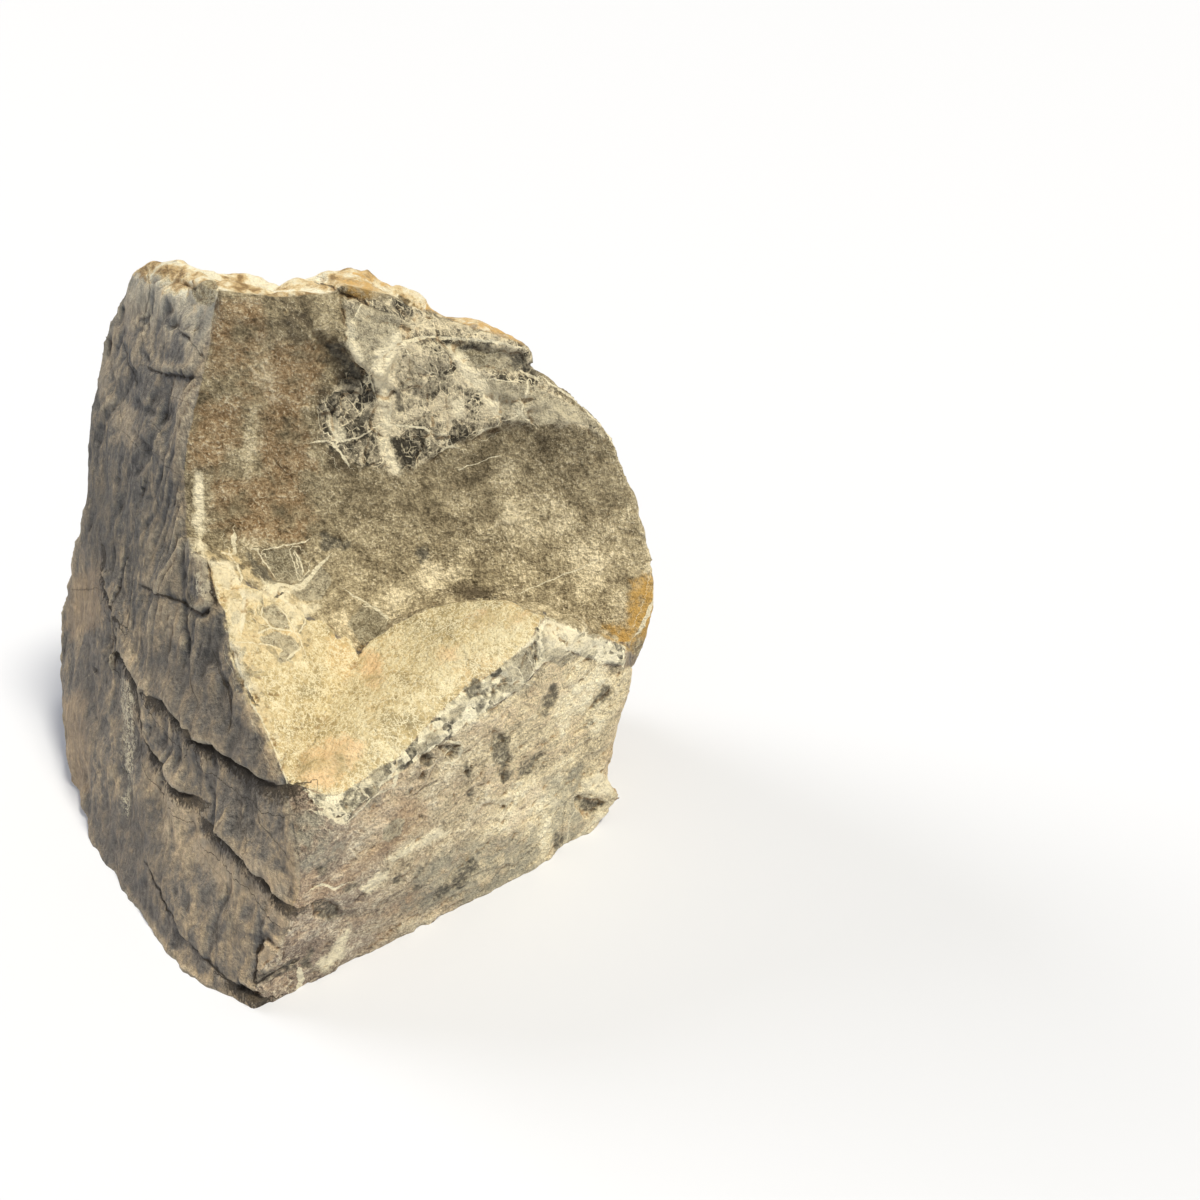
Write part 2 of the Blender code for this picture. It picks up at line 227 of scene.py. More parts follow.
def block_out():
    """The whole block with plain broken faces, as one dense skin: (points in millimetres, four-sided faces)."""
    stone = lump("block_out", SLAB)
    helpers = [dish()] + [lump(name, corners) for name, corners in LUMPS.items()]
    for helper in helpers:
        modifier = stone.modifiers.new(helper.name, "BOOLEAN")
        modifier.operation = "DIFFERENCE" if helper.name == "dish" else "UNION"
        modifier.solver = "EXACT"
        modifier.object = helper
    remesh = stone.modifiers.new("one_skin", "REMESH")
    remesh.mode = "VOXEL"
    remesh.voxel_size = VOXEL * MM
    mesh = evaluated_mesh(stone)
    for obj in [stone, *helpers]:
        bpy.data.objects.remove(obj, do_unlink=True)
    points = rows_of(mesh.vertices, "co", 3).astype(float) / MM
    assert (rows_of(mesh.polygons, "loop_total", 1, np.int32) == 4).all()
    quads = rows_of(mesh.loops, "vertex_index", 1, np.int32).reshape(-1, 4)
    bpy.data.meshes.remove(mesh)
    return points, quads


# ---------------------------------------------------------------------------------------------------------------
# Noise, broken fragments and smoothing on the dense skin
# ---------------------------------------------------------------------------------------------------------------

FAR = 1.0e9
TINY = 1.0e-12


def unit(vectors):
    return vectors / np.maximum(np.linalg.norm(vectors, axis=1, keepdims=True), TINY)


CHANCE = np.random.default_rng(11)
GRADIENTS = unit(CHANCE.normal(size=(256, 3)))
SCATTER = CHANCE.random((4096, 3))
CORNERS = [np.array((x, y, z)) for x in (0, 1) for y in (0, 1) for z in (0, 1)]
NEIGHBOURS = [np.array((x, y, z)) for x in (-1, 0, 1) for y in (-1, 0, 1) for z in (-1, 0, 1)]


def cell_number(cells, seed):
    """A repeatable whole number for each cell of a grid."""
    x, y, z = (cells[:, axis].astype(np.int64).astype(np.uint32) for axis in range(3))
    mixed = x * np.uint32(0x8DA6B343) ^ y * np.uint32(0xD8163841) ^ z * np.uint32(0xCB1AB31F)
    mixed ^= np.uint32(seed * 7919 + 17)
    for shift, factor in ((15, 0x2C1B3C6D), (12, 0x297A2D39)):
        mixed = (mixed ^ (mixed >> np.uint32(shift))) * np.uint32(factor)
    return mixed ^ (mixed >> np.uint32(15))


def gradient_of(number):
    return GRADIENTS[number & np.uint32(len(GRADIENTS) - 1)]


def soft_noise(points, size, seed=0):
    """Smooth noise from about -1 to 1, whose bumps are about size across."""
    place = points / size
    cell = np.floor(place)
    part = place - cell
    fade = part * part * part * (part * (part * 6.0 - 15.0) + 10.0)
    total = np.zeros(len(points))
    for corner in CORNERS:
        slope = gradient_of(cell_number(cell + corner, seed))
        weight = np.where(corner, fade, 1.0 - fade).prod(1)
        total += ((part - corner) * slope).sum(1) * weight
    return total * 1.6


def rough_noise(points, size, octaves=4, gain=0.5, seed=0):
    """Soft noise with ever finer noise on it, each octave gain times as high as the one before."""
    total = np.zeros(len(points))
    height = 1.0
    for octave in range(octaves):
        total += height * soft_noise(points, size, seed + 31 * octave)
        size = size / 2.03
        height *= gain
    return total


def fragments(points, size, seed=0):
    """Broken fragments: the distance to the nearest border, a random number for each, and the height of its tilted
    face, all for fragments about size across."""
    place = points / size
    cell = np.floor(place)
    near = np.full(len(points), FAR)
    second = near.copy()
    owner = np.zeros(len(points), np.uint32)
    middle = np.zeros_like(place)
    for step in NEIGHBOURS:
        number = cell_number(cell + step, seed)
        centre = cell + step + SCATTER[number & np.uint32(len(SCATTER) - 1)]
        gap = ((place - centre) ** 2).sum(1)
        closer = gap < near
        second = np.where(closer, near, np.minimum(second, gap))
        near = np.where(closer, gap, near)
        owner = np.where(closer, number, owner)
        middle[closer] = centre[closer]
    border = (np.sqrt(second) - np.sqrt(near)) * 0.5 * size
    pick = (owner >> np.uint32(4)) % 1000 / 999.0
    tilt = ((place - middle) * gradient_of(owner >> np.uint32(8))).sum(1) * size
    return border, pick, tilt


def rise(value, low, high):
    """0 below low, 1 above high, and a smooth turn between them."""
    part = np.clip((value - low) / (high - low), 0.0, 1.0)
    return part * part * (3.0 - 2.0 * part)


def outward(points, quads):
    """The direction in which the skin faces at each point."""
    a, b, c, d = (points[quads[:, k]] for k in range(4))
    across = np.cross(c - a, d - b)
    total = np.zeros_like(points)
    for axis in range(3):
        for k in range(4):
            total[:, axis] += np.bincount(quads[:, k], across[:, axis], len(points))
    return unit(total)


def links_of(faces):
    """Each point's neighbours, as two lists of point numbers."""
    start = faces.T.ravel()
    end = np.roll(faces, -1, axis=1).T.ravel()
    return np.concatenate([start, end]), np.concatenate([end, start])


def settled(values, links, passes):
    """The values drawn towards the mean of their neighbours."""
    start, end = links
    count = np.maximum(np.bincount(start, minlength=len(values)), 1)

    def mean(column):
        return np.bincount(start, column[end], len(values)) / count

    for _ in range(passes):
        near = mean(values) if values.ndim == 1 else np.stack([mean(column) for column in values.T], 1)
        values = 0.4 * values + 0.6 * near
    return values


# ---------------------------------------------------------------------------------------------------------------
# Outlines and lines that are given in pixels of the picture
# ---------------------------------------------------------------------------------------------------------------


class View:
    """The skin as the camera sees it: each point's pixel, and which points are in view."""

    # Cells of the picture, in pixels, and how far behind a cell's nearest skin a point is hidden: more where the
    # skin is seen edge-on.
    CELL = 6.0
    CELLS_WIDE = 1000
    BEHIND = 6.0
    BEHIND_STEEP = 2.0
    STEEPEST = 10.0

    def __init__(self, points, normals):
        self.points = points
        self.normals = normals
        self.column, self.row, self.ahead = to_picture(points)
        self.turned = (normals * unit(EYE - points)).sum(1)
        facing = self.turned > 0.0
        cells = np.floor(self.row / self.CELL) * self.CELLS_WIDE + np.floor(self.column / self.CELL)
        cells = cells.astype(np.int64)
        front = np.full(self.CELLS_WIDE**2, FAR)
        np.minimum.at(front, cells[facing], self.ahead[facing])
        steep = np.minimum(1.0 / np.maximum(self.turned, 0.01) - 1.0, self.STEEPEST)
        hidden = self.ahead > front[cells] + self.BEHIND + self.BEHIND_STEEP * steep
        self.tucked = (hidden & facing).astype(float)
        self.seen = rise(self.turned, -0.25, 0.05) * np.where(hidden & (self.turned > -0.05), 0.0, 1.0)
        in_view = np.flatnonzero(facing & ~hidden)
        self.tree = KDTree(len(in_view))
        for number in in_view:
            self.tree.insert((self.column[number], self.row[number], 0.0), number)
        self.tree.balance()

    def place(self, pixels):
        """The points of the skin that show at some pixels."""
        placed = []
        for column, row in pixels:
            near = [number for _, number, _ in self.tree.find_n((column, row, 0.0), 3)]
            ray = ray_through((column, row))
            placed.append(EYE + ray * (self.ahead[near].mean() / (ray @ AHEAD)))
        return np.array(placed)

    def depth(self, outline, reach=10.0, bend=0.0, seed=0):
        """How many pixels each point lies inside an outline, outside counted negative, up to some reach. Points
        that don't show are outside. Bend is how far, in pixels, the outline is bent to and fro."""
        outline = np.array(outline, float)
        margin = reach + 2.0 * bend
        low, high = outline.min(0) - margin, outline.max(0) + margin
        found = np.full(len(self.points), -reach)
        near = np.flatnonzero(
            (self.seen > 0.0)
            & (self.column > low[0]) & (self.column < high[0]) & (self.row > low[1]) & (self.row < high[1])
        )
        if not len(near):
            return found
        x, y = self.column[near], self.row[near]
        if bend:
            spots = self.points[near]
            x = x + bend * rough_noise(spots, 5.0, 3, 0.6, seed + 5)
            y = y + bend * rough_noise(spots, 5.0, 3, 0.6, seed + 6)
        edge = np.full(len(near), FAR)
        within = np.zeros(len(near), bool)
        for (ax, ay), (bx, by) in zip(outline, np.roll(outline, -1, axis=0)):
            length = max((bx - ax) ** 2 + (by - ay) ** 2, TINY)
            along = np.clip(((x - ax) * (bx - ax) + (y - ay) * (by - ay)) / length, 0.0, 1.0)
            edge = np.minimum(edge, np.hypot(x - ax - along * (bx - ax), y - ay - along * (by - ay)))
            if ay != by:
                within ^= ((ay > y) != (by > y)) & (x < (bx - ax) * (y - ay) / (by - ay) + ax)
        signed = np.clip(np.where(within, edge, -edge), -reach, reach)
        found[near] = (signed + reach) * self.seen[near] - reach
        return found

    def inside(self, outline, soft=3.0, bend=0.0, seed=0):
        """How much each point in view lies inside an outline, from 0 to 1. Soft and bend are in pixels."""
        return rise(self.depth(outline, soft + 1.0, bend, seed), -soft, soft)

    def beside(self, line, reach):
        """For the points within reach of a line on the skin: their numbers, how far off it they are, left of it
        counted positive, and how far along it they are, from 0 to 1."""
        low, high = line.min(0) - reach, line.max(0) + reach
        near = np.flatnonzero(((self.points > low) & (self.points < high)).all(1))
        spots, normals = self.points[near], self.normals[near]
        gap = np.full(len(near), FAR)
        side = np.ones(len(near))
        where = np.zeros(len(near))
        for k, (start, end) in enumerate(zip(line[:-1], line[1:])):
            run = end - start
            along = np.clip((spots - start) @ run / max(run @ run, TINY), 0.0, 1.0)
            off = spots - start - along[:, None] * run
            far = np.linalg.norm(off, axis=1)
            closer = far < gap
            gap = np.where(closer, far, gap)
            turn = np.sign((np.cross(run, off) * normals).sum(1))
            side = np.where(closer, turn, side)
            where = np.where(closer, (k + along) / (len(line) - 1), where)
        kept = gap < reach
        return near[kept], (gap * side)[kept], where[kept]

    def along(self, pixels, reach, step=3.0, sway=0.0, seed=0):
        """What beside finds for a line of pixels."""
        return self.beside(self.place(wandering(pixels, step, sway, seed)), reach)

    def away_from(self, pixel):
        """How far each point is from the one at a pixel."""
        return np.linalg.norm(self.points - self.place([pixel])[0], axis=1)


def wandering(pixels, step, sway, seed):
    """A line of pixels filled in to short steps that sway a little from side to side."""
    chance = np.random.default_rng(seed)
    pixels = np.array(pixels, float)
    filled = []
    for start, end in zip(pixels[:-1], pixels[1:]):
        count = max(int(np.hypot(*(end - start)) / step), 1)
        for k in range(count):
            push = chance.normal(0.0, sway, 2) * (0.3 + 0.7 * (k > 0))
            filled.append(start + (end - start) * k / count + push)
    filled.append(pixels[-1])
    return filled


# ---------------------------------------------------------------------------------------------------------------
# The faces of the rock, as outlines in the picture
# ---------------------------------------------------------------------------------------------------------------

ARRIS = [
    (218, 290), (212, 320), (210, 345), (205, 365), (202, 380), (197, 400), (193, 415), (190, 430), (186, 450),
    (184, 475), (186, 505), (186, 530), (190, 550),
]
RAMP_EDGE = [
    (190, 550), (207, 560), (212, 580), (218, 600), (225, 612), (228, 630), (230, 650), (232, 665), (240, 675),
    (247, 690), (253, 705), (260, 717), (265, 730), (272, 745), (278, 760), (283, 772), (288, 785),
]
NEAR_EDGE = [
    (288, 785), (292, 820), (300, 860), (300, 890), (293, 907), (289, 927), (280, 950), (258, 974), (252, 1009),
]
RAMP_HEAD = [(190, 550), (215, 562), (240, 578), (262, 592), (290, 603), (318, 622), (345, 640), (359, 652)]
VALLEY = [(359, 652), (346, 673), (337, 692), (327, 706), (318, 735), (305, 762), (288, 785)]
RIM = [
    (359, 652), (370, 640), (385, 632), (400, 622), (425, 610), (450, 603), (480, 598), (500, 599), (515, 603),
    (530, 612), (545, 616), (560, 624), (580, 632), (600, 637), (610, 640), (625, 650),
]
BAND_TOP = [
    (300, 785), (325, 795), (340, 795), (375, 772), (400, 757), (410, 745), (440, 712), (462, 692), (490, 675),
    (515, 655), (530, 640), (537, 628),
]
BAND_FOOT = [
    (315, 803), (330, 816), (345, 822), (365, 800), (395, 775), (440, 745), (480, 715), (520, 690), (545, 662),
    (570, 652), (600, 662), (625, 668),
]
CREST = [(218, 290), (280, 297), (330, 293), (345, 285), (400, 297), (450, 320), (520, 343)]

LEFT_FACE = (
    [(30, 262), (100, 235), (160, 235), (182, 268), (192, 284), (204, 300)] + ARRIS + RAMP_EDGE + NEAR_EDGE
    + [(250, 1060), (150, 1010), (50, 880), (20, 700)]
)
BACK_WALL = (
    CREST + [(570, 350), (650, 420), (700, 560), (700, 640), (650, 662)]
    + RIM[::-1] + RAMP_HEAD[::-1] + ARRIS[::-1]
)
RAMP_FACE = RAMP_EDGE + VALLEY[::-1] + RAMP_HEAD[::-1]
LEDGE_FACE = RIM[:11] + BAND_TOP[::-1] + [(288, 785)] + VALLEY[::-1]
BAND_FACE = BAND_TOP + [(545, 616), (580, 632), (625, 645)] + BAND_FOOT[::-1]
FRONT_FACE = (
    [(288, 785), (300, 785)] + BAND_FOOT
    + [(660, 660), (650, 760), (670, 800), (610, 890), (480, 950), (300, 1060), (252, 1060)]
    + NEAR_EDGE[::-1]
)
CREST_FACE = CREST[::-1] + [
    (204, 300), (192, 284), (182, 268), (160, 235), (300, 230), (400, 240), (500, 300), (580, 345),
]

# Grey and cream shards along the edge over the ramp.
SHARDS = [
    (190, 550), (236, 552), (262, 586), (306, 602), (312, 650), (290, 668), (262, 658), (268, 712), (290, 778),
    (276, 760), (252, 704), (232, 664), (226, 612), (208, 562),
]

# The broken fragments between pale veins high on the back wall, and single facets there and elsewhere.
WEB = [
    (345, 300), (400, 297), (450, 318), (527, 345), (540, 378), (600, 425), (612, 440), (575, 425), (540, 426),
    (507, 424), (480, 431), (450, 448), (415, 466), (397, 474), (360, 466), (322, 441), (318, 405), (345, 375),
    (352, 350),
]
FACETS = [
    # outline, height, how soft its edge is
    ([(346, 312), (360, 304), (400, 312), (401, 340), (375, 362), (367, 380), (358, 362), (349, 352)], 0.6, 1.6),
    ([(450, 343), (525, 352), (534, 380), (515, 379), (490, 370), (472, 373), (455, 358)], -0.8, 2.5),
    ([(490, 378), (535, 386), (577, 407), (600, 424), (570, 423), (540, 425), (507, 422), (497, 412)], 0.4, 1.6),
    ([(316, 332), (345, 348), (366, 374), (356, 385), (335, 380), (318, 365)], -1.2, 5.0),
    ([(395, 352), (440, 350), (452, 372), (470, 385), (452, 398), (415, 392), (395, 375)], 0.3, 2.5),
    ([(447, 396), (452, 440), (470, 440), (500, 425), (497, 405), (470, 385)], 0.6, 1.6),
    ([(258, 551), (299, 544), (303, 566), (291, 583), (272, 580)], -0.2, 3.0),
    ([(251, 635), (275, 628), (294, 637), (303, 647), (284, 659), (272, 650)], -0.4, 1.6),
    ([(258, 606), (262, 618), (275, 630), (291, 632), (283, 615), (276, 603)], -0.35, 1.6),
    ([(226, 598), (260, 600), (264, 590), (235, 590), (216, 592)], 0.5, 1.6),
    ([(240, 660), (262, 648), (250, 641), (238, 645)], 0.5, 1.6),
    ([(346, 622), (360, 607), (378, 609), (389, 622), (385, 634), (360, 645)], 0.2, 3.0),
    ([(523, 757), (545, 752), (533, 770), (522, 777)], -0.5, 1.6),
    ([(493, 728), (504, 735), (513, 757), (508, 768), (505, 784), (497, 770), (492, 750)], -0.7, 1.8),
    ([(436, 747), (461, 745), (453, 759), (444, 755)], -1.1, 1.6),
    ([(553, 690), (558, 698), (543, 718), (538, 714), (545, 697)], -0.5, 1.8),
    ([(603, 685), (612, 690), (606, 701), (591, 711), (594, 697)], -0.6, 1.6),
    ([(419, 757), (427, 751), (434, 758), (430, 765), (421, 765)], -1.0, 1.6),
    ([(463, 692), (480, 676), (508, 672), (508, 684), (490, 698), (468, 697)], -0.7, 1.6),
    ([(530, 646), (537, 640), (539, 661), (534, 660)], -0.8, 1.6),
    ([(556, 622), (563, 628), (568, 645), (560, 641)], -0.7, 1.6),
    ([(340, 797), (362, 786), (366, 800), (350, 814)], -0.4, 1.6),
    ([(380, 825), (400, 814), (406, 824), (392, 842), (380, 840)], 0.4, 2.0),
    ([(311, 903), (325, 899), (338, 905), (342, 914), (330, 921), (315, 917)], -0.9, 2.0),
    ([(258, 955), (268, 943), (281, 949), (279, 963), (269, 970), (259, 968)], 1.5, 2.0),
    ([(191, 553), (207, 561), (211, 585), (211, 603), (203, 612), (193, 607), (190, 580)], 1.1, 1.6),
    ([(577, 796), (608, 803), (597, 812), (585, 818), (577, 808)], -1.8, 1.8),
    ([(582, 782), (600, 772), (610, 782), (616, 796), (600, 798), (582, 792)], 0.8, 2.0),
    ([(190, 288), (209, 277), (217, 283), (216, 299), (206, 304), (195, 300)], -0.6, 1.6),
    ([(165, 326), (202, 333), (198, 362), (190, 375), (160, 372)], 0.7, 2.5),
]

# A smooth plate high on the left face, where the folds stop.
SMOOTH_PLATE = [(164, 330), (180, 328), (196, 348), (204, 364), (190, 375), (164, 372)]

# Cracks: a line of pixels, half width, depth, how far the side on its left stands proud, and how far that reaches.
CRACKS = [
    ([(150, 697), (162, 702), (172, 714), (184, 726), (193, 740), (203, 744), (217, 747), (227, 757), (241, 766),
      (255, 776), (267, 783), (281, 786), (288, 785)], 0.8, 1.7, 1.9, 11.0),
    ([(139, 707), (142, 726), (150, 747), (160, 761), (165, 773), (177, 788), (189, 795),
      (200, 798)], 0.7, 1.3, 1.5, 9.0),
    ([(208, 822), (216, 832), (229, 843), (241, 858), (253, 869), (264, 879), (272, 893), (285, 903), (293, 907)],
     0.7, 1.4, 1.6, 10.0),
    ([(105, 554), (108, 588), (116, 619), (120, 654), (131, 676), (137, 690), (139, 707)], 1.2, 1.0, 1.3, 10.0),
    ([(191, 595), (192, 609), (203, 615), (211, 607)], 0.8, 1.4, 0.3, 4.0),
    ([(208, 561), (210, 576), (212, 595), (218, 609)], 0.6, 1.3, -0.3, 4.0),
    ([(224, 678), (230, 695), (231, 711), (229, 730), (227, 736)], 0.8, 0.8, 0.3, 5.0),
    ([(139, 585), (160, 595), (184, 602), (193, 611)], 0.8, 0.4, 0.5, 8.0),
    ([(145, 366), (159, 372), (177, 375), (190, 377), (204, 377)], 0.4, 0.6, 0.5, 5.0),
    ([(143, 856), (161, 895), (182, 937), (208, 961), (237, 990)], 0.8, 0.3, 0.6, 9.0),
    ([(236, 984), (248, 991), (262, 998)], 1.0, 2.2, 0.9, 6.0),
    ([(264, 937), (257, 955), (253, 985)], 0.8, 1.1, 0.0, 4.0),
    ([(253, 985), (274, 973), (302, 957)], 0.7, 0.9, 0.4, 5.0),
    ([(311, 281), (332, 287), (352, 297), (375, 308), (392, 315)], 0.5, 0.6, 0.6, 5.0),
    ([(272, 457), (279, 465), (285, 473), (296, 484)], 0.4, 0.5, 0.2, 3.0),
    ([(410, 797), (430, 785), (445, 778)], 0.4, 0.5, 0.3, 3.0),
    ([(176, 328), (187, 336), (196, 348), (206, 362)], 0.4, 0.6, 0.3, 4.0),
]

# Hairline cracks, which are drawn but have no depth in the mesh: a line of pixels and a half width.
HAIRLINES = [
    ([(258, 785), (256, 802), (258, 816), (264, 829), (274, 840), (285, 853), (298, 869)], 0.35),
    ([(177, 790), (195, 797), (203, 803), (208, 822)], 0.3),
    ([(189, 655), (190, 672), (192, 690), (200, 708)], 0.4),
    ([(212, 650), (219, 668), (227, 690)], 0.35),
    ([(115, 602), (139, 601), (155, 603)], 0.25),
    ([(70, 590), (84, 590), (96, 588), (105, 592)], 0.3),
    ([(146, 267), (150, 292), (145, 315), (142, 337), (141, 355), (137, 385)], 0.35),
    ([(124, 340), (127, 360), (135, 375), (139, 390)], 0.35),
    ([(120, 405), (122, 430), (135, 445), (140, 452)], 0.3),
    ([(138, 449), (155, 451), (167, 467), (182, 476)], 0.3),
    ([(150, 482), (160, 486), (161, 500)], 0.25),
    ([(160, 392), (175, 398), (190, 404)], 0.25),
    ([(150, 420), (160, 432), (163, 442)], 0.25),
    ([(227, 880), (228, 903), (223, 919)], 0.3),
    ([(247, 812), (246, 830), (245, 858)], 0.3),
    ([(150, 757), (156, 780), (166, 802), (180, 822)], 0.25),
    ([(255, 900), (250, 925), (240, 945)], 0.25),
    ([(225, 905), (232, 925), (236, 950)], 0.25),
    ([(200, 850), (215, 872), (226, 884)], 0.25),
    ([(296, 486), (312, 500), (322, 512)], 0.25),
    ([(275, 598), (284, 592)], 0.5),
    ([(247, 690), (252, 700), (259, 706)], 0.5),
    ([(228, 640), (232, 655), (240, 676)], 0.3),
    ([(303, 646), (310, 662), (316, 680)], 0.15),
    ([(566, 800), (563, 825), (560, 850)], 0.3),
]

# Soft upright grooves between the folds high on the left face: a line of pixels, half width and depth.
GROOVES = [
    ([(166, 322), (176, 326), (186, 329), (198, 331)], 1.6, 0.6),
    ([(151, 264), (150, 285), (149, 302), (144, 322), (141, 338)], 1.7, 1.5),
    ([(165, 266), (165, 285), (167, 302), (172, 318)], 1.5, 1.2),
    ([(137, 276), (133, 296), (136, 312), (140, 322)], 1.4, 1.1),
    ([(124, 285), (120, 305), (122, 325), (127, 342)], 1.5, 1.2),
    ([(176, 270), (181, 284), (187, 298), (193, 310), (198, 322)], 1.3, 0.9),
    ([(119, 338), (126, 352), (133, 370), (139, 388)], 1.4, 1.1),
    ([(141, 338), (143, 352), (151, 364), (160, 371)], 1.2, 1.0),
    ([(160, 332), (166, 348), (169, 362)], 1.1, 0.6),
    ([(108, 330), (106, 350), (110, 372), (116, 392)], 1.6, 0.9),
    ([(150, 378), (160, 396), (172, 412), (180, 428)], 1.5, 0.8),
    ([(134, 392), (142, 410), (158, 416), (170, 414)], 1.6, 0.9),
    ([(104, 400), (108, 425), (104, 450)], 1.6, 0.9),
    ([(126, 410), (132, 432), (146, 446), (156, 462)], 1.5, 0.9),
    ([(163, 425), (168, 445), (176, 462)], 1.3, 0.5),
    ([(118, 470), (124, 500), (120, 530)], 2.0, 0.9),
    ([(150, 490), (152, 520), (146, 545)], 1.8, 0.6),
    ([(166, 600), (168, 640), (163, 680)], 1.6, 0.8),
    ([(184, 610), (188, 650), (192, 700)], 1.6, 0.7),
    ([(212, 640), (218, 668), (226, 700), (228, 735)], 1.5, 0.8),
    ([(85, 620), (90, 680), (95, 740)], 2.4, 1.0),
    ([(178, 800), (192, 830), (203, 860)], 1.6, 0.6),
    ([(240, 790), (238, 820), (248, 850)], 1.6, 0.6),
]

# Round pits: pixel, radius and depth.
PITS = [
    ((423, 776), 1.4, 1.8), ((468, 773), 1.1, 0.9), ((469, 791), 0.9, 1.1), ((505, 808), 0.9, 1.0),
    ((184, 373), 0.9, 1.0), ((359, 653), 1.1, 1.4), ((426, 759), 1.4, 1.0), ((472, 768), 0.9, 0.7),
    ((411, 791), 0.9, 1.0), ((422, 818), 0.7, 0.7), ((484, 778), 0.6, 0.6), ((455, 797), 0.6, 0.5),
    ((280, 592), 0.9, 0.9),
]

# Chips broken out of the sharp edge over the ramp: pixel, radius and depth.
CHIPS = [
    ((243, 684), 3.6, 1.4), ((252, 698), 3.0, 1.3), ((262, 718), 2.8, 1.0), ((272, 742), 2.4, 0.9),
    ((233, 655), 2.2, 0.8), ((281, 767), 2.0, 0.7), ((247, 672), 2.2, 0.7), ((224, 596), 2.2, 1.1),
]

# Wide shallow hollows that take the block back to its outline: pixel, radius and depth.
DIPS = [
    ((74, 806), 20.0, 3.0), ((432, 300), 16.0, 4.6), ((400, 284), 12.0, 3.0), ((193, 266), 12.0, 1.8),
    ((250, 280), 13.0, 3.2), ((372, 268), 10.0, 1.6), ((312, 284), 12.0, -1.8),
]

# Where the stone is worn round: the top of the left face, and a seam below it. Pixels, reach and how many passes.
WORN_ROUND = [
    ([(122, 292), (128, 276), (140, 266), (158, 260), (180, 261), (200, 268)], 16.0, 90),
    ([(181, 372), (187, 357), (195, 346), (203, 335), (211, 322)], 7.0, 16),
]
WORN_SEAM = ([(193, 347), (198, 341), (203, 335), (208, 329), (212, 321)], 3.5, 10)

# The direction in which the streaks and scarps of the front face run, and the ways that some faces look.
STREAK = np.array([0.735, 0.60, 0.345])
STREAK /= np.linalg.norm(STREAK)
FRONT_OUT = np.array([0.621, -0.784, 0.0])
WALL_OUT = np.array([0.384, -0.868, 0.3135])
# The way towards the fill light: small faces turned to it get painted sunny light, those turned away painted
# shade.
TOWARDS_FILL_LIGHT = np.array([-0.90, 0.25, 0.35])

# Parts of the left face: where it folds most, and where it breaks into flat pieces.
UPPER_LEFT = [(85, 240), (230, 270), (215, 420), (190, 560), (50, 560)]
LOWER_LEFT = [(95, 700), (300, 700), (310, 1050), (40, 1050), (60, 800)]

# The faces that the camera sees: outline, how soft its edge is, how far it is bent, and a seed.
FACES = {
    "left": (LEFT_FACE, 2.0, 1.0, 1),
    "wall": (BACK_WALL, 2.0, 2.0, 2),
    "ramp": (RAMP_FACE, 2.0, 2.0, 3),
    "ledge": (LEDGE_FACE, 2.0, 1.5, 4),
    "band": (BAND_FACE, 1.5, 2.0, 5),
    "front": (FRONT_FACE, 2.0, 1.5, 6),
}

# The flakes of the ramp are sharpest in this strip along its edge.
EDGE_STRIP = [(x + 2, y) for x, y in RAMP_EDGE[::-1]] + [(x + 34, y) for x, y in RAMP_EDGE]

# Edges that stay sharp: a line of pixels, and how much of the surface's relief is kept on it.
SHARP_EDGES = [(ARRIS, 0.4), (RAMP_EDGE, 0.15), (RIM, 0.3), (NEAR_EDGE[:5], 0.5)]
SHARPEN = 0.7

# Folds go round the block, upright: the middle they go round, the radius at which their widths are measured, and
# how far they are drawn out inward and upward.
FOLDS_MIDDLE_Y = 5.0
FOLDS_RADIUS = 75.0
FOLDS_INWARD = 3.0
FOLDS_UPWARD = 4.6

# How far the finished skin keeps inside the box of the solid.
CLEARANCE = 0.05


def clamp(value):
    return max(0.0, min(1.0, value))


def stepped(value, step):
    """A height drawn towards the nearest whole step, so that a slope turns into ledges with worn edges."""
    whole = math.floor(value / step)
    part = value / step - whole
    return step * (whole + clamp((part - 0.5) * 1.9 + 0.5))


def swell(points, normals):
    """The long swells and hidden ledges of the solid, so that the finished skin stays on it."""
    height = np.empty(len(points))
    for k, (spot, normal) in enumerate(zip(map(Vector, points), normals)):
        broken = clamp(2.2 * (0.35 * normal[0] - 0.86 * normal[1] + 0.32 * normal[2]) - 0.9)
        hidden = clamp(1.6 * normal[1] + 0.2)
        wave = noise.fractal(spot / 46.0 + Vector((3.1, 7.7, 1.9)), 0.9, 2.1, 3)
        ripple = noise.noise(spot / 15.0 + Vector((11.3, 2.4, 5.8)))
        height[k] = (1.0 - 0.5 * broken) * (2.0 * wave + 0.7 * ripple)
        if hidden > 0.0:
            ledges = noise.fractal(spot / 30.0 + Vector((5.0, 1.0, 8.0)), 1.0, 2.0, 3)
            height[k] += hidden * stepped(5.0 * ledges, 1.6)
    return height


def tucked_wall(view):
    """The part of the back wall that the block in front of it hides."""
    return view.tucked * rise(view.normals @ WALL_OUT, 0.55, 0.8)


def zones(view):
    """How much each point belongs to each kind of surface. Together they come to 1."""
    found = {name: view.inside(*face) for name, face in FACES.items()}
    found["wall"] = np.maximum(found["wall"], tucked_wall(view))
    total = np.maximum(sum(found.values()), 1.0)
    for name in found:
        found[name] = found[name] / total
    rest = 1.0 - sum(found.values())
    upward = view.normals[:, 2] + 0.2 * rough_noise(view.points, 20.0, 3)
    top = rise(upward, 0.35, 0.75) * rise(view.points[:, 2], 90.0, 140.0)
    found["crest"] = rest * np.maximum(top, view.inside(CREST_FACE, 2.0, 2.0, 7))
    found["skin"] = rest - found["crest"]
    found["web"] = view.inside(WEB, 5.0, 6.0, 8) * found["wall"]
    found["wall"] = found["wall"] - found["web"]
    return found


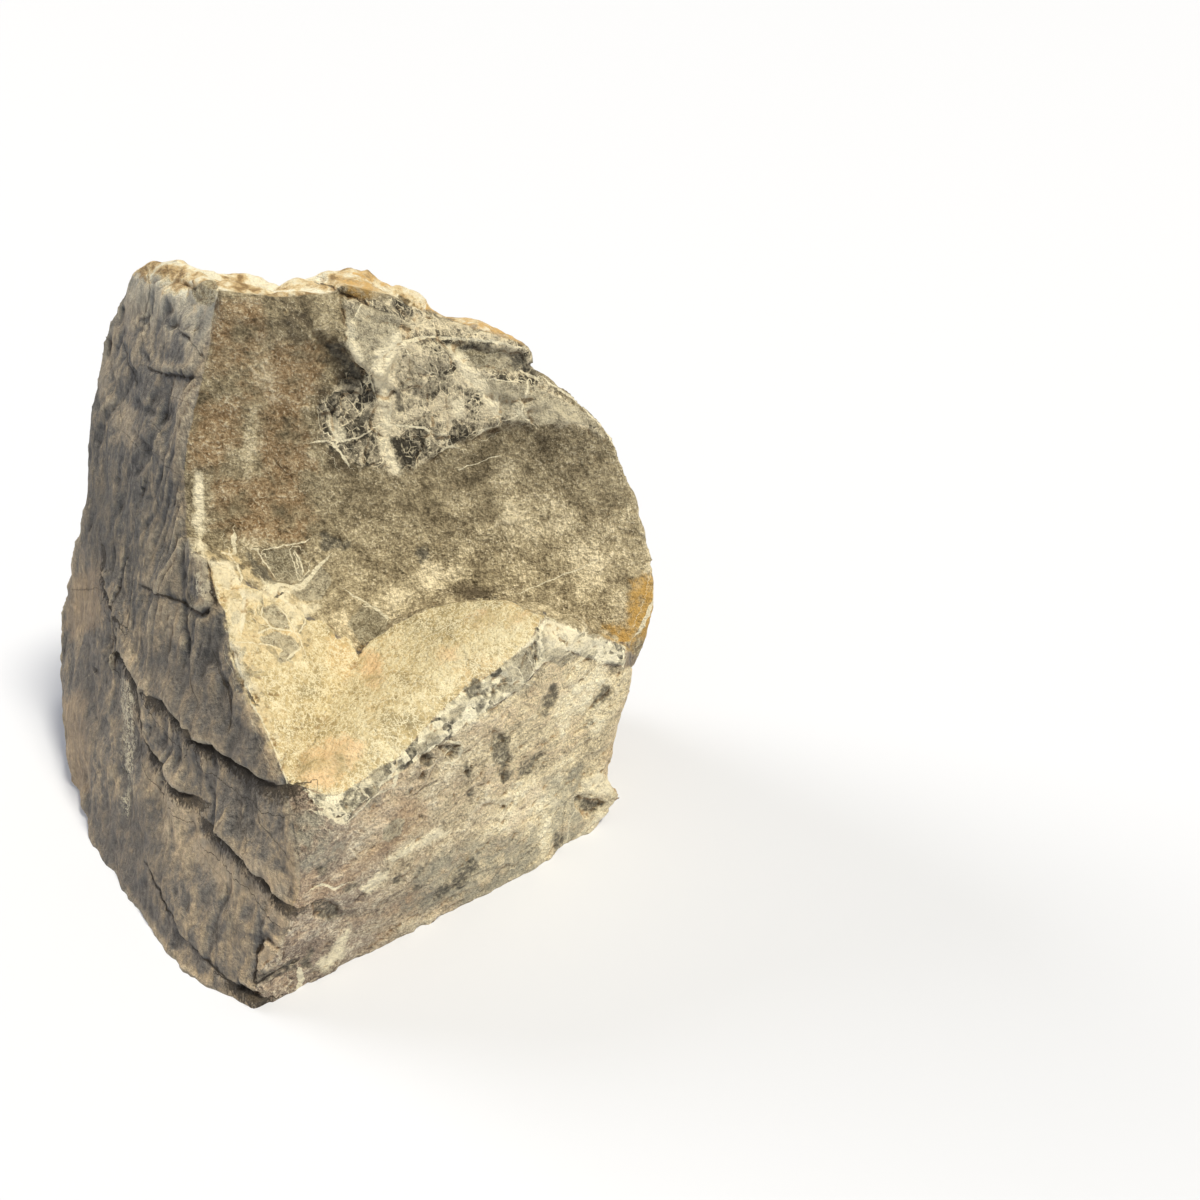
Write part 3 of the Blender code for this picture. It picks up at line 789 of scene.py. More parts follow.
def folds(points, normals):
    """Upright wrinkles: rounded ridges with sharp creases between them, which lean and run into each other."""
    around = np.arctan2(points[:, 1] - FOLDS_MIDDLE_Y, points[:, 0]) * FOLDS_RADIUS
    lean = 8.0 * soft_noise(points, 36.0, 41) + 2.4 * soft_noise(points, 12.0, 42)
    upward = points[:, 2] + 3.0 * soft_noise(points, 18.0, 43)
    inward = np.hypot(points[:, 0], points[:, 1])
    place = np.stack([around + lean, inward / FOLDS_INWARD, upward / FOLDS_UPWARD], 1)
    height = np.zeros(len(points))
    for size, weight in ((13.0, 2.4), (6.0, 1.4), (3.2, 0.5)):
        height += weight * (np.abs(soft_noise(place, size, int(10 * size))) - 0.3)
    return height * (1.0 - rise(np.abs(normals[:, 2]), 0.6, 0.9)) * (0.75 + 0.5 * soft_noise(points, 30.0, 46))


def faceted(points, size, seed, step, lean, soft):
    """The height of broken fragments: each is stepped and leans at random, and they meet in soft grooves."""
    border, pick, tilt = fragments(points, size, seed)
    return (lean * tilt + step * (pick - 0.5)) * rise(border, 0.0, soft)


def weathered_relief(view, kind):
    """Folds, swells and small lumps."""
    points = view.points
    weathered = kind["left"] + kind["skin"]
    upper = kind["left"] * view.inside(UPPER_LEFT, 30.0)
    lower = kind["left"] * view.inside(LOWER_LEFT, 30.0)
    facing = 0.35 + 0.65 * rise(np.abs(view.turned), 0.1, 0.45)
    height = weathered * (0.8 + 0.3 * upper - 0.3 * lower) * facing * folds(points, view.normals)
    height += weathered * (0.4 * rough_noise(points, 8.0, 3, 0.55, 51) + 0.7 * soft_noise(points, 18.0, 52))
    height += (0.7 * lower + 0.8 * kind["skin"]) * faceted(points, 19.0, 54, 1.3, 0.09, 2.5)
    return height * (1.0 - 0.75 * view.inside(SMOOTH_PLATE, 5.0))


def crest_relief(view, kind):
    """A nodular crust with small hollows."""
    hollows = rise(soft_noise(view.points, 5.0, 62), 0.2, 0.7)
    return kind["crest"] * (0.8 * rough_noise(view.points, 8.0, 3, 0.6, 61) - 0.5 * hollows)


def wall_relief(view, kind):
    """An even grain on long flat waves."""
    waves = rough_noise(view.points, 16.0, 3, 0.5, 71)
    return kind["wall"] * (0.6 * waves + 0.3 * rough_noise(view.points, 4.2, 2, 0.7, 72))


def broken_relief(view, kind):
    """Fragments between the wall's veins, and smaller pieces in the band: tilted faces that meet in grooves."""
    bent = view.points + 1.6 * rough_noise(view.points, 7.0, 2, 0.5, 81)[:, None]
    large = 0.35 + faceted(bent, 9.0, 82, 1.3, 0.14, 1.0) + faceted(bent, 4.0, 83, 0.55, 0.08, 0.8)
    small = faceted(bent, 5.5, 111, 1.0, 0.16, 0.8) + faceted(bent, 2.8, 112, 0.4, 0.08, 0.6)
    return kind["web"] * large + kind["band"] * small


def ramp_relief(view, kind):
    """Flat flakes."""
    points = view.points
    flakes = faceted(points * (1.0, 1.0, 1.3), 6.5, 91, 0.5, 0.10, 0.8)
    height = (0.4 + 1.1 * view.inside(EDGE_STRIP, 10.0)) * flakes
    height += 0.25 * soft_noise(points, 9.0, 92) + 0.12 * rough_noise(points, 3.4, 2, 0.6, 93)
    return kind["ramp"] * height


def ledge_relief(view, kind):
    """Nearly smooth, with low waves."""
    waves = rough_noise(view.points, 11.0, 3, 0.55, 101)
    return kind["ledge"] * (0.4 * waves + 0.12 * rough_noise(view.points, 3.2, 2, 0.6, 102))


def front_relief(view, kind):
    """Long low scarps along the streaks, thin layers peeled off, and grain."""
    points = view.points
    along, down, out = points @ STREAK, points @ np.cross(FRONT_OUT, STREAK), points @ FRONT_OUT
    scarp = rough_noise(np.stack([along / 3.2, down, out], 1), 5.0, 3, 0.55, 121)
    peel = rough_noise(np.stack([along / 1.8, down, out], 1), 15.0, 3, 0.5, 122)
    height = 0.26 * scarp + 0.6 * rise(peel, 0.05, 0.15) + 0.5 * rise(peel, 0.5, 0.58) - 0.5
    height += 0.5 * soft_noise(points, 16.0, 123) + 0.32 * rough_noise(points, 4.5, 3, 0.6, 124)
    return kind["front"] * height


RELIEFS = (
    weathered_relief, crest_relief, wall_relief, broken_relief, ramp_relief, ledge_relief, front_relief,
)


def keep_edges(view, height, links):
    """Fades the relief out towards the sharp edges, so that they stay sharp."""
    calm = settled(height, links, 8)
    for pixels, keep in SHARP_EDGES:
        near, off, _ = view.along(pixels, 3.0)
        share = keep + (1.0 - keep) * rise(np.abs(off), 0.3, 2.6)
        height[near] = calm[near] + (height[near] - calm[near]) * share


def add_facets(view, height):
    """Lifts or sinks single fragments. Sharp ones follow their outline more closely."""
    for outline, lift, soft in FACETS:
        height += lift * view.inside(outline, soft, 1.2 if soft < 2.0 else 3.0, len(outline))


def cut_grooves(view, height):
    """Sinks the grooves, which are steep on one side and fade out at their ends."""
    for number, (pixels, half, depth) in enumerate(GROOVES):
        near, off, where = view.along(pixels, 5.0 * half, 4.0, 0.8, number)
        ends = rise(where, 0.0, 0.25) * (1.0 - rise(where, 0.75, 1.0))
        ends *= 0.7 + 0.9 * soft_noise(view.points[near], 7.0, 126)
        steep = half * np.where(off > 0.0, 0.8, 2.4)
        height[near] -= 0.9 * ends * depth * np.exp(-((off / steep) ** 2)) * view.seen[near]


def open_cracks(view, height):
    """Opens the cracks and raises the lips beside them. Gives how much each point may be sharpened afterwards,
    which is less near a crack, so that its lip doesn't turn jagged."""
    crisp = SHARPEN * rise(view.turned, 0.1, 0.4)
    for number, (pixels, half, depth, proud, reach) in enumerate(CRACKS):
        near, off, where = view.along(pixels, reach, 5.0, 0.8, number)
        ends = rise(where, 0.0, 0.15) * (1.0 - rise(where, 0.82, 1.0))
        ragged = off + 0.35 * soft_noise(view.points[near], 6.0, 131)
        height[near] -= ends * depth * np.exp(-((ragged / (1.2 * half)) ** 2))
        lip = rise(ragged, -0.8, 1.0) * (1.0 - rise(off, 0.35 * reach, reach)) * view.seen[near]
        height[near] += 1.15 * ends * proud * lip
        crisp[near] *= 0.25 + 0.75 * rise(np.abs(off), 1.0, 3.5)
    return crisp


def hollow_out(view, height):
    ragged = 0.4 * soft_noise(view.points, 2.5, 141)
    for pixel, radius, depth in PITS + CHIPS + DIPS:
        height -= depth * (1.0 - rise(view.away_from(pixel) + ragged, 0.35 * radius, radius))


def wear(points, links, view, pixels, reach, passes):
    """Wears the stone round along a line."""
    near, off, _ = view.along(pixels, reach)
    worn = settled(points, links, passes)
    points[near] += (worn[near] - points[near]) * (1.0 - rise(np.abs(off), 0.25 * reach, reach))[:, None]


def sculpt(points, quads):
    """The finished surface of the rock: the same skin, with its relief worked in."""
    links = links_of(quads)
    view = View(points, settled(outward(points, quads), links, 4))
    for pixels, reach, passes in WORN_ROUND:
        wear(points, links, view, pixels, reach, passes)

    normals = settled(outward(points, quads), links, 4)
    points = settled(points + normals * swell(points, normals)[:, None], links, 1)

    broad = unit(settled(outward(points, quads), links, 10))
    view = View(points, broad)
    kind = zones(view)
    height = sum(relief(view, kind) for relief in RELIEFS)
    keep_edges(view, height, links)
    add_facets(view, height)
    cut_grooves(view, height)
    crisp = open_cracks(view, height)
    hollow_out(view, height)
    points = points + broad * height[:, None]
    points += crisp[:, None] * (points - settled(points, links, 2))
    wear(points, links, view, *WORN_SEAM)
    return points


def inside_box(points):
    """The points, held just inside the solid's box. Below the ground the skin goes on until it is cut flat."""
    low = np.array(cad_low) / MM + CLEARANCE
    high = np.array(cad_high) / MM - CLEARANCE
    low[2] = -2.0 * FOOT_DEPTH
    return np.clip(points, low, high)


TRIANGLES = 198000
SPARE_FACTOR = 10.0


def measured(mesh):
    """A mesh's points in millimetres, the directions they face, and its triangles."""
    points = rows_of(mesh.vertices, "co", 3).astype(float) / MM
    normals = rows_of(mesh.vertices, "normal", 3).astype(float)
    mesh.calc_loop_triangles()
    return points, normals, rows_of(mesh.loop_triangles, "vertices", 3, np.int32)


def cut_flat(mesh):
    """Cuts a mesh off at the ground, closes the cut and splits its faces into triangles."""
    shape = bmesh.new()
    shape.from_mesh(mesh)
    bmesh.ops.bisect_plane(
        shape,
        geom=[*shape.verts, *shape.edges, *shape.faces],
        dist=1.0e-6,
        plane_co=(0.0, 0.0, 0.0),
        plane_no=(0.0, 0.0, 1.0),
        clear_inner=True,
    )
    bmesh.ops.contextual_create(shape, geom=[edge for edge in shape.edges if edge.is_boundary])
    bmesh.ops.triangulate(shape, faces=shape.faces[:])
    bmesh.ops.recalc_face_normals(shape, faces=shape.faces[:])
    shape.to_mesh(mesh)
    shape.free()


def thin_out(stone):
    """Takes away triangles, many more of them where the camera doesn't see the stone."""
    points, normals, _ = measured(stone.data)
    spare = stone.vertex_groups.new(name="spare")
    for number in np.flatnonzero(View(points, normals).seen < 0.5):
        spare.add([int(number)], 1.0, "REPLACE")
    thinner = stone.modifiers.new("thinner", "DECIMATE")
    thinner.ratio = TRIANGLES / len(stone.data.polygons)
    thinner.vertex_group = spare.name
    thinner.vertex_group_factor = SPARE_FACTOR
    final = evaluated_mesh(stone)
    stone.modifiers.clear()
    stone.vertex_groups.clear()
    stone.data = final


def finished_stone():
    """The rock: sculpted, cut flat underneath and thinned out."""
    points, quads = block_out()
    points = inside_box(sculpt(points, quads))
    mesh = bpy.data.meshes.new("stone_finished")
    mesh.from_pydata((points * MM).tolist(), [], quads.tolist())
    cut_flat(mesh)
    stone = new_object("limestone_block", mesh)
    thin_out(stone)
    return stone


# ---------------------------------------------------------------------------------------------------------------
# Where each colour lies: veins, stains, fragments and dirt, kept as numbers on the mesh's points
# ---------------------------------------------------------------------------------------------------------------

# Pale veins, and highlights painted along the ramp's edge and the ledge's rim: a line of pixels, and the half
# width at its start and end.
VEINS_AND_EDGE_HIGHLIGHTS = [
    ([(367, 380), (375, 362), (388, 350), (400, 342), (410, 340), (428, 337)], 0.45, 0.8),
    ([(428, 337), (450, 338), (490, 341), (526, 349)], 0.5, 0.35),
    ([(399, 316), (401, 328), (402, 340)], 0.5, 0.55),
    ([(311, 443), (322, 441), (340, 442), (358, 438), (372, 429), (380, 424), (392, 424)], 0.3, 0.3),
    ([(392, 424), (410, 427), (422, 427), (432, 432), (448, 436), (451, 442)], 0.35, 0.3),
    ([(326, 404), (330, 418), (333, 430), (339, 442)], 0.35, 0.9),
    ([(334, 443), (340, 452), (349, 466)], 0.4, 0.25),
    ([(357, 360), (364, 362), (370, 378), (376, 398), (382, 420)], 0.35, 0.2),
    ([(361, 304), (358, 312), (354, 318)], 0.3, 0.15),
    ([(388, 390), (391, 410), (390, 428)], 0.35, 0.4),
    ([(404, 346), (410, 356), (418, 366), (432, 374)], 0.2, 0.15),
    ([(500, 422), (512, 419), (521, 413)], 0.2, 0.35),
    ([(528, 380), (525, 400), (521, 413), (534, 425)], 0.35, 0.3),
    ([(512, 408), (521, 413)], 0.2, 0.4),
    ([(520, 371), (534, 377), (538, 380)], 0.6, 0.3),
    ([(470, 384), (484, 378), (500, 380), (528, 382)], 0.25, 0.15),
    ([(477, 436), (482, 430), (492, 427), (500, 424)], 0.7, 0.3),
    ([(440, 452), (450, 446), (458, 448)], 0.4, 0.25),
    ([(330, 556), (322, 563), (312, 574), (303, 585), (293, 589)], 0.35, 1.0),
    ([(298, 588), (284, 585), (270, 586), (262, 578)], 0.7, 0.4),
    ([(262, 608), (262, 616), (268, 623), (272, 627), (282, 630), (293, 632)], 0.45, 0.25),
    ([(258, 633), (266, 630), (272, 627)], 0.3, 0.3),
    ([(288, 659), (294, 653), (303, 648)], 0.35, 0.25),
    ([(234, 533), (234, 545), (235, 555)], 0.75, 0.4),
    ([(214, 549), (225, 553), (234, 559), (240, 572), (241, 582)], 0.2, 0.5),
    ([(241, 588), (244, 600), (243, 615), (241, 634)], 0.85, 0.5),
    ([(222, 588), (230, 590), (243, 588)], 0.3, 0.2),
    ([(279, 608), (290, 622), (298, 636), (304, 650), (308, 662)], 0.25, 0.15),
    ([(300, 632), (305, 622), (306, 618)], 0.3, 0.15),
    ([(248, 548), (262, 550), (280, 547), (300, 543), (310, 539)], 0.2, 0.2),
    ([(258, 552), (268, 566), (276, 578)], 0.25, 0.15),
    ([(292, 548), (300, 560), (303, 575)], 0.25, 0.2),
    ([(288, 548), (296, 570), (299, 582)], 0.12, 0.12),
    ([(345, 590), (358, 598), (370, 606), (388, 618), (398, 628)], 0.25, 0.3),
    ([(362, 606), (376, 607), (388, 618), (386, 634)], 0.2, 0.15),
    ([(238, 642), (256, 643), (272, 646), (280, 650)], 0.3, 0.15),
    ([(536, 614), (541, 632), (538, 654), (536, 670)], 0.35, 0.2),
    # A highlight painted along the ledge's rim.
    ([(545, 617), (560, 627), (580, 636), (605, 645), (626, 656)], 0.6, 0.5),
    ([(560, 657), (575, 648), (590, 645), (604, 641)], 0.3, 0.2),
    ([(500, 684), (520, 682), (533, 686)], 0.3, 0.2),
    ([(510, 664), (520, 670), (524, 682)], 0.2, 0.15),
    ([(524, 652), (532, 662), (534, 676)], 0.2, 0.15),
    ([(360, 788), (364, 793), (370, 798)], 0.35, 0.3),
    ([(336, 800), (342, 808), (348, 816)], 0.3, 0.25),
    ([(318, 800), (332, 806), (340, 815), (346, 823)], 0.5, 0.4),
    ([(316, 812), (328, 814), (336, 821), (344, 824)], 0.7, 0.5),
    ([(346, 822), (356, 815), (368, 802), (380, 792), (392, 788)], 0.3, 0.2),
    ([(393, 766), (397, 778), (394, 788)], 0.8, 0.5),
    ([(436, 747), (446, 742), (460, 743)], 0.3, 0.35),
    ([(462, 744), (459, 758), (452, 764), (445, 762)], 0.5, 0.4),
    ([(442, 758), (448, 750), (455, 746)], 0.3, 0.2),
    ([(299, 968), (301, 980), (299, 996)], 0.9, 1.1),
    ([(310, 890), (322, 884), (335, 889), (345, 884)], 0.3, 0.5),
    ([(420, 640), (450, 625), (480, 612)], 0.15, 0.15),
    ([(515, 594), (540, 585), (570, 572), (600, 560)], 0.15, 0.2),
    ([(456, 470), (480, 462), (500, 455)], 0.12, 0.15),
    ([(567, 868), (566, 845), (570, 822), (576, 806)], 0.2, 0.3),
    # Highlights painted along the ramp's edge.
    ([(232, 648), (238, 665), (245, 684), (252, 700)], 0.7, 0.35),
    ([(250, 700), (262, 720), (272, 742), (282, 768), (287, 783)], 0.25, 0.3),
    ([(658, 560), (655, 590), (648, 615), (637, 634)], 0.6, 0.9),
    ([(540, 376), (575, 400), (605, 428), (630, 470), (645, 510), (655, 550)], 0.3, 0.5),
]

# Broad milky belts of fine veins.
MILK = [
    [(122, 680), (133, 682), (134, 750), (128, 815), (119, 810), (123, 750)],
    [(376, 350), (398, 344), (398, 362), (392, 385), (388, 405), (390, 440), (396, 458), (404, 474), (392, 472),
     (380, 450), (383, 425), (381, 400), (372, 376)],
    [(443, 345), (455, 345), (468, 360), (482, 375), (494, 395), (503, 412), (500, 424), (494, 418), (484, 400),
     (462, 372)],
    [(328, 418), (336, 416), (346, 434), (344, 442), (334, 442)],
    [(346, 320), (354, 318), (356, 345), (366, 362), (356, 364), (348, 348)],
    [(384, 340), (395, 330), (402, 340), (395, 348)],
    [(278, 598), (286, 596), (292, 604), (286, 614), (280, 609)],
    [(268, 584), (292, 590), (282, 600), (268, 600), (258, 592)],
    [(194, 470), (202, 474), (204, 520), (204, 556), (197, 550), (194, 516)],
    [(190, 548), (207, 558), (212, 580), (206, 600), (196, 590)],
    [(211, 562), (232, 560), (240, 582), (232, 588), (214, 584)],
    [(226, 600), (240, 598), (246, 610), (238, 640), (228, 632)],
    [(241, 590), (262, 592), (262, 600), (246, 603)],
    [(228, 640), (240, 645), (246, 668), (256, 690), (250, 694), (238, 672)],
    [(284, 606), (304, 603), (322, 606), (300, 622), (296, 634)],
    [(545, 622), (566, 622), (580, 640), (600, 640), (575, 650), (548, 648)],
    [(583, 780), (600, 771), (609, 780), (615, 792), (600, 797), (582, 791)],
    [(618, 812), (596, 826), (580, 845), (576, 838), (598, 812)],
    [(452, 400), (462, 398), (466, 418), (456, 420)],
    [(360, 888), (375, 876), (390, 870), (385, 880), (368, 895)],
    [(335, 945), (350, 925), (345, 955), (325, 975), (315, 968)],
    [(545, 800), (556, 798), (560, 806), (548, 808)],
    [(385, 860), (405, 845), (440, 828), (450, 832), (420, 848), (395, 862)],
]

# Dark grey fragments, and hollows painted dark as shade in them.
DARK = [
    [(246, 549), (262, 566), (276, 583), (266, 583), (254, 572)],
    [(320, 533), (332, 535), (344, 540), (340, 548), (322, 550)],
    [(337, 545), (350, 538), (352, 546), (342, 550)],
    [(415, 549), (426, 547), (430, 558), (420, 563)],
    [(518, 767), (530, 756), (545, 752), (537, 764), (526, 776), (519, 776)],
    [(492, 735), (500, 734), (509, 738), (508, 748), (512, 760), (506, 766), (494, 766), (491, 752)],
    [(498, 768), (514, 770), (508, 782), (500, 783)],
    [(436, 748), (447, 745), (461, 745), (454, 759), (446, 759), (449, 751)],
    [(553, 684), (559, 690), (556, 702), (546, 716), (540, 717), (541, 705), (547, 692)],
    [(603, 685), (611, 686), (611, 697), (602, 705), (592, 711), (594, 699)],
    [(419, 758), (427, 751), (434, 757), (432, 765), (427, 768), (420, 763)],
    [(417, 773), (428, 776), (423, 781)],
    [(463, 692), (476, 678), (488, 686), (508, 680), (504, 689), (490, 697), (470, 697)],
    [(529, 648), (536, 640), (539, 661), (534, 662)],
    [(557, 624), (563, 630), (567, 645), (560, 640)],
    [(606, 662), (614, 660), (622, 668), (612, 670)],
    [(476, 700), (484, 698), (485, 706), (478, 718)],
    [(341, 799), (350, 790), (372, 786), (374, 798), (360, 806), (346, 806)],
    [(354, 806), (363, 796), (364, 802), (358, 811)],
    [(384, 765), (391, 762), (392, 772), (386, 774)],
    [(397, 760), (403, 756), (405, 768), (400, 772)],
    [(462, 766), (468, 763), (471, 772), (470, 780), (465, 775)],
    [(468, 789), (473, 788), (472, 794), (467, 794)],
    [(311, 903), (325, 899), (338, 905), (342, 914), (330, 921), (315, 917)],
    [(450, 890), (449, 880), (460, 872), (466, 862), (475, 859), (478, 868), (470, 876), (462, 888)],
    [(434, 892), (440, 885), (449, 887), (447, 895), (436, 898)],
    [(414, 876), (422, 867), (430, 862), (420, 874)],
    [(392, 878), (400, 876), (406, 881), (395, 884)],
    [(413, 885), (419, 885), (422, 889), (414, 889)],
    [(342, 889), (352, 883), (363, 881), (355, 890), (345, 893)],
    [(317, 868), (324, 866), (327, 872), (321, 877)],
    [(555, 832), (562, 834), (562, 848), (553, 851)],
    [(577, 797), (607, 804), (600, 812), (588, 813), (579, 806)],
    [(304, 960), (310, 946), (313, 950), (309, 962), (318, 970), (304, 968), (296, 960)],
    [(256, 975), (275, 968), (298, 958), (296, 966), (272, 978), (256, 984)],
    [(330, 344), (345, 342), (352, 358), (368, 376), (356, 378), (340, 362), (322, 340)],
    [(395, 388), (402, 390), (404, 412), (396, 410)],
    [(360, 412), (376, 414), (374, 422), (360, 424)],
    [(452, 344), (480, 342), (490, 346), (470, 352), (456, 352)],
    [(508, 350), (524, 354), (530, 372), (515, 372)],
    [(588, 720), (596, 722), (594, 727), (586, 725)],
    [(190, 592), (194, 596), (195, 610), (190, 606)],
]

# Fragments of mid grey rock with few veins.
SLATE = [
    [(190, 290), (206, 279), (217, 281), (217, 296), (212, 307), (197, 303)],
    [(346, 312), (360, 304), (400, 316), (401, 338), (385, 350), (375, 362), (367, 372), (358, 362), (349, 352)],
    [(472, 384), (500, 380), (535, 386), (577, 407), (605, 428), (570, 423), (540, 425), (507, 420), (497, 405)],
    [(456, 352), (480, 345), (510, 350), (515, 372), (490, 370), (472, 368)],
    [(262, 552), (292, 548), (302, 560), (302, 576), (292, 583), (276, 582)],
    [(258, 637), (275, 632), (292, 636), (300, 646), (290, 652), (262, 642)],
    [(264, 618), (262, 606), (275, 604), (288, 620), (290, 630), (276, 627)],
    [(232, 612), (240, 610), (240, 622), (232, 626)],
    [(284, 650), (300, 648), (290, 660), (280, 664), (276, 660)],
    [(238, 655), (250, 642), (246, 650), (242, 660)],
    [(346, 624), (360, 608), (378, 608), (388, 620), (384, 634), (362, 645)],
    [(302, 578), (322, 566), (332, 580), (322, 600), (300, 600), (290, 592)],
    [(502, 664), (520, 651), (534, 646), (536, 668), (528, 680), (510, 678)],
    [(545, 625), (556, 622), (566, 650), (575, 655), (562, 668), (546, 660), (541, 640)],
    [(560, 640), (585, 634), (602, 634), (588, 644), (568, 647)],
    [(505, 682), (522, 684), (530, 686), (512, 694), (503, 692)],
    [(360, 790), (374, 786), (380, 792), (370, 800), (362, 798)],
    [(368, 774), (384, 764), (390, 776), (376, 786)],
    [(414, 746), (424, 741), (428, 750), (418, 754)],
    [(422, 736), (436, 730), (440, 738), (430, 745)],
    [(448, 712), (462, 702), (462, 714), (450, 722)],
    [(382, 840), (384, 828), (396, 818), (406, 820), (402, 834), (390, 842)],
]

# Rusty brown on the back wall, orange stains, pale clouds and shadowy areas. The shadowy areas are darker
# tones; on the back wall they are partly painted shade, as in the hollow left of the fresh facet.
RUST = [
    [(218, 300), (262, 298), (268, 330), (262, 358), (236, 372), (210, 374), (206, 345)],
    [(238, 378), (262, 370), (268, 402), (244, 412)],
    [(200, 395), (240, 400), (240, 440), (215, 470), (190, 470), (190, 430)],
    [(275, 520), (305, 514), (310, 536), (285, 546), (270, 536)],
    [(215, 480), (290, 470), (320, 520), (280, 545), (215, 530)],
    [(262, 345), (330, 345), (322, 380), (300, 420), (316, 470), (262, 476), (262, 400)],
]
ORANGE = [
    [(362, 653), (371, 648), (381, 660), (384, 680), (373, 689), (362, 676)],
    [(300, 757), (325, 741), (348, 737), (366, 745), (360, 762), (340, 777), (330, 790), (309, 786), (297, 778)],
    [(468, 620), (482, 612), (502, 612), (496, 621), (480, 629)],
    [(508, 616), (528, 612), (521, 623), (509, 629)],
    [(436, 648), (457, 644), (456, 659), (441, 663)],
    [(632, 583), (662, 570), (662, 628), (642, 640), (627, 622)],
    [(600, 629), (640, 624), (632, 652), (613, 642)],
    [(330, 262), (392, 262), (402, 284), (375, 293), (345, 286)],
    [(408, 297), (430, 300), (442, 313), (425, 319), (410, 309)],
    [(345, 286), (365, 292), (392, 308), (385, 312), (360, 300), (342, 292)],
    [(296, 902), (330, 880), (380, 845), (424, 806), (431, 820), (392, 850), (340, 892), (300, 912)],
    [(400, 800), (430, 800), (425, 825), (400, 838), (390, 830)],
    [(619, 715), (630, 690), (632, 720), (606, 775), (600, 765)],
    [(404, 888), (416, 884), (422, 892), (412, 905), (406, 902)],
    [(374, 936), (384, 926), (394, 922), (392, 932), (380, 940)],
    [(310, 880), (318, 872), (314, 886)],
    [(60, 700), (85, 690), (90, 790), (70, 800)],
    [(70, 580), (100, 562), (100, 625), (72, 640), (66, 625)],
    [(450, 305), (525, 330), (530, 350), (465, 335)],
]
CLOUD = [
    [(404, 312), (452, 318), (458, 336), (408, 334)],
    [(490, 460), (525, 460), (530, 482), (490, 480)],
    [(500, 385), (580, 405), (580, 420), (505, 418)],
    [(400, 350), (440, 350), (440, 390), (404, 390)],
    [(500, 500), (540, 494), (578, 508), (576, 530), (540, 541), (505, 531)],
    [(256, 330), (272, 340), (276, 400), (262, 410), (254, 380)],
    [(248, 402), (262, 402), (257, 440), (250, 492), (242, 482)],
    [(425, 562), (470, 565), (476, 586), (430, 592), (395, 590)],
    [(360, 602), (400, 580), (420, 595), (385, 620), (350, 640), (325, 615)],
    [(560, 548), (600, 556), (610, 590), (575, 600)],
    [(306, 295), (330, 292), (345, 310), (348, 330), (330, 335), (312, 318)],
    [(555, 700), (600, 660), (610, 680), (600, 740), (560, 745)],
    [(505, 790), (560, 760), (575, 800), (540, 850), (500, 840)],
    [(400, 622), (450, 603), (520, 606), (530, 640), (500, 665), (440, 690), (400, 665)],
    [(165, 600), (178, 604), (184, 640), (168, 640)],
    [(385, 345), (440, 345), (500, 382), (560, 400), (575, 415), (505, 417), (450, 425), (402, 425), (382, 440),
     (375, 390)],
    [(545, 622), (600, 638), (622, 652), (600, 650), (560, 652), (545, 660)],
    [(232, 850), (268, 864), (292, 884), (290, 905), (262, 888), (240, 870)],
    [(98, 320), (114, 325), (112, 370), (100, 400), (95, 370)],
    [(126, 290), (136, 280), (134, 310), (128, 340), (122, 320)],
    [(158, 765), (180, 790), (205, 800), (195, 830), (170, 815), (150, 790)],
    [(195, 830), (240, 870), (262, 890), (250, 900), (215, 880), (190, 850)],
    [(262, 890), (285, 905), (292, 930), (278, 928), (262, 912)],
    [(258, 955), (268, 943), (281, 949), (279, 963), (269, 970), (259, 968)],
    [(296, 922), (340, 905), (345, 935), (300, 940)],
    [(120, 400), (134, 410), (140, 440), (130, 452), (118, 430)],
    [(170, 380), (196, 384), (190, 404), (172, 400)],
]
SHADOWY = [
    [(186, 292), (206, 275), (221, 279), (221, 298), (213, 311), (196, 307)],
    [(545, 775), (580, 765), (582, 840), (548, 850)],
    [(440, 850), (540, 825), (540, 870), (460, 905), (400, 915), (405, 880)],
    [(456, 352), (480, 345), (500, 350), (490, 362), (470, 366)],
    [(85, 490), (118, 495), (118, 560), (85, 570)],
    [(75, 650), (104, 650), (104, 740), (80, 750)],
    [(118, 690), (136, 690), (136, 770), (120, 770)],
    [(140, 640), (180, 640), (200, 690), (225, 735), (190, 725), (150, 690)],
    [(283, 302), (312, 300), (314, 337), (298, 345), (285, 332)],
    [(320, 338), (347, 350), (367, 374), (362, 392), (345, 398), (326, 385)],
    [(440, 590), (480, 584), (520, 592), (480, 598)],
    [(320, 370), (372, 392), (372, 440), (330, 440), (315, 400)],
    [(395, 440), (440, 440), (440, 460), (400, 465)],
    [(328, 405), (345, 398), (372, 430), (350, 475), (332, 470)],
    [(258, 551), (299, 544), (303, 566), (291, 583), (272, 580)],
    [(346, 622), (360, 607), (378, 609), (389, 622), (385, 634), (360, 645)],
    [(400, 620), (440, 603), (480, 599), (500, 604), (470, 622), (430, 640), (405, 650)],
    [(480, 650), (505, 645), (500, 668), (478, 680), (462, 670)],
    [(385, 712), (420, 705), (425, 730), (398, 748), (372, 742)],
    [(300, 668), (325, 672), (318, 700), (298, 700)],
    [(340, 798), (372, 788), (376, 802), (350, 816)],
    [(82, 805), (150, 800), (172, 860), (165, 930), (128, 905), (95, 860)],
    [(288, 815), (330, 812), (345, 850), (318, 870), (292, 868)],
    [(150, 640), (180, 650), (228, 690), (282, 782), (250, 768), (190, 730), (160, 700)],
    [(160, 300), (200, 296), (202, 328), (165, 330)],
]

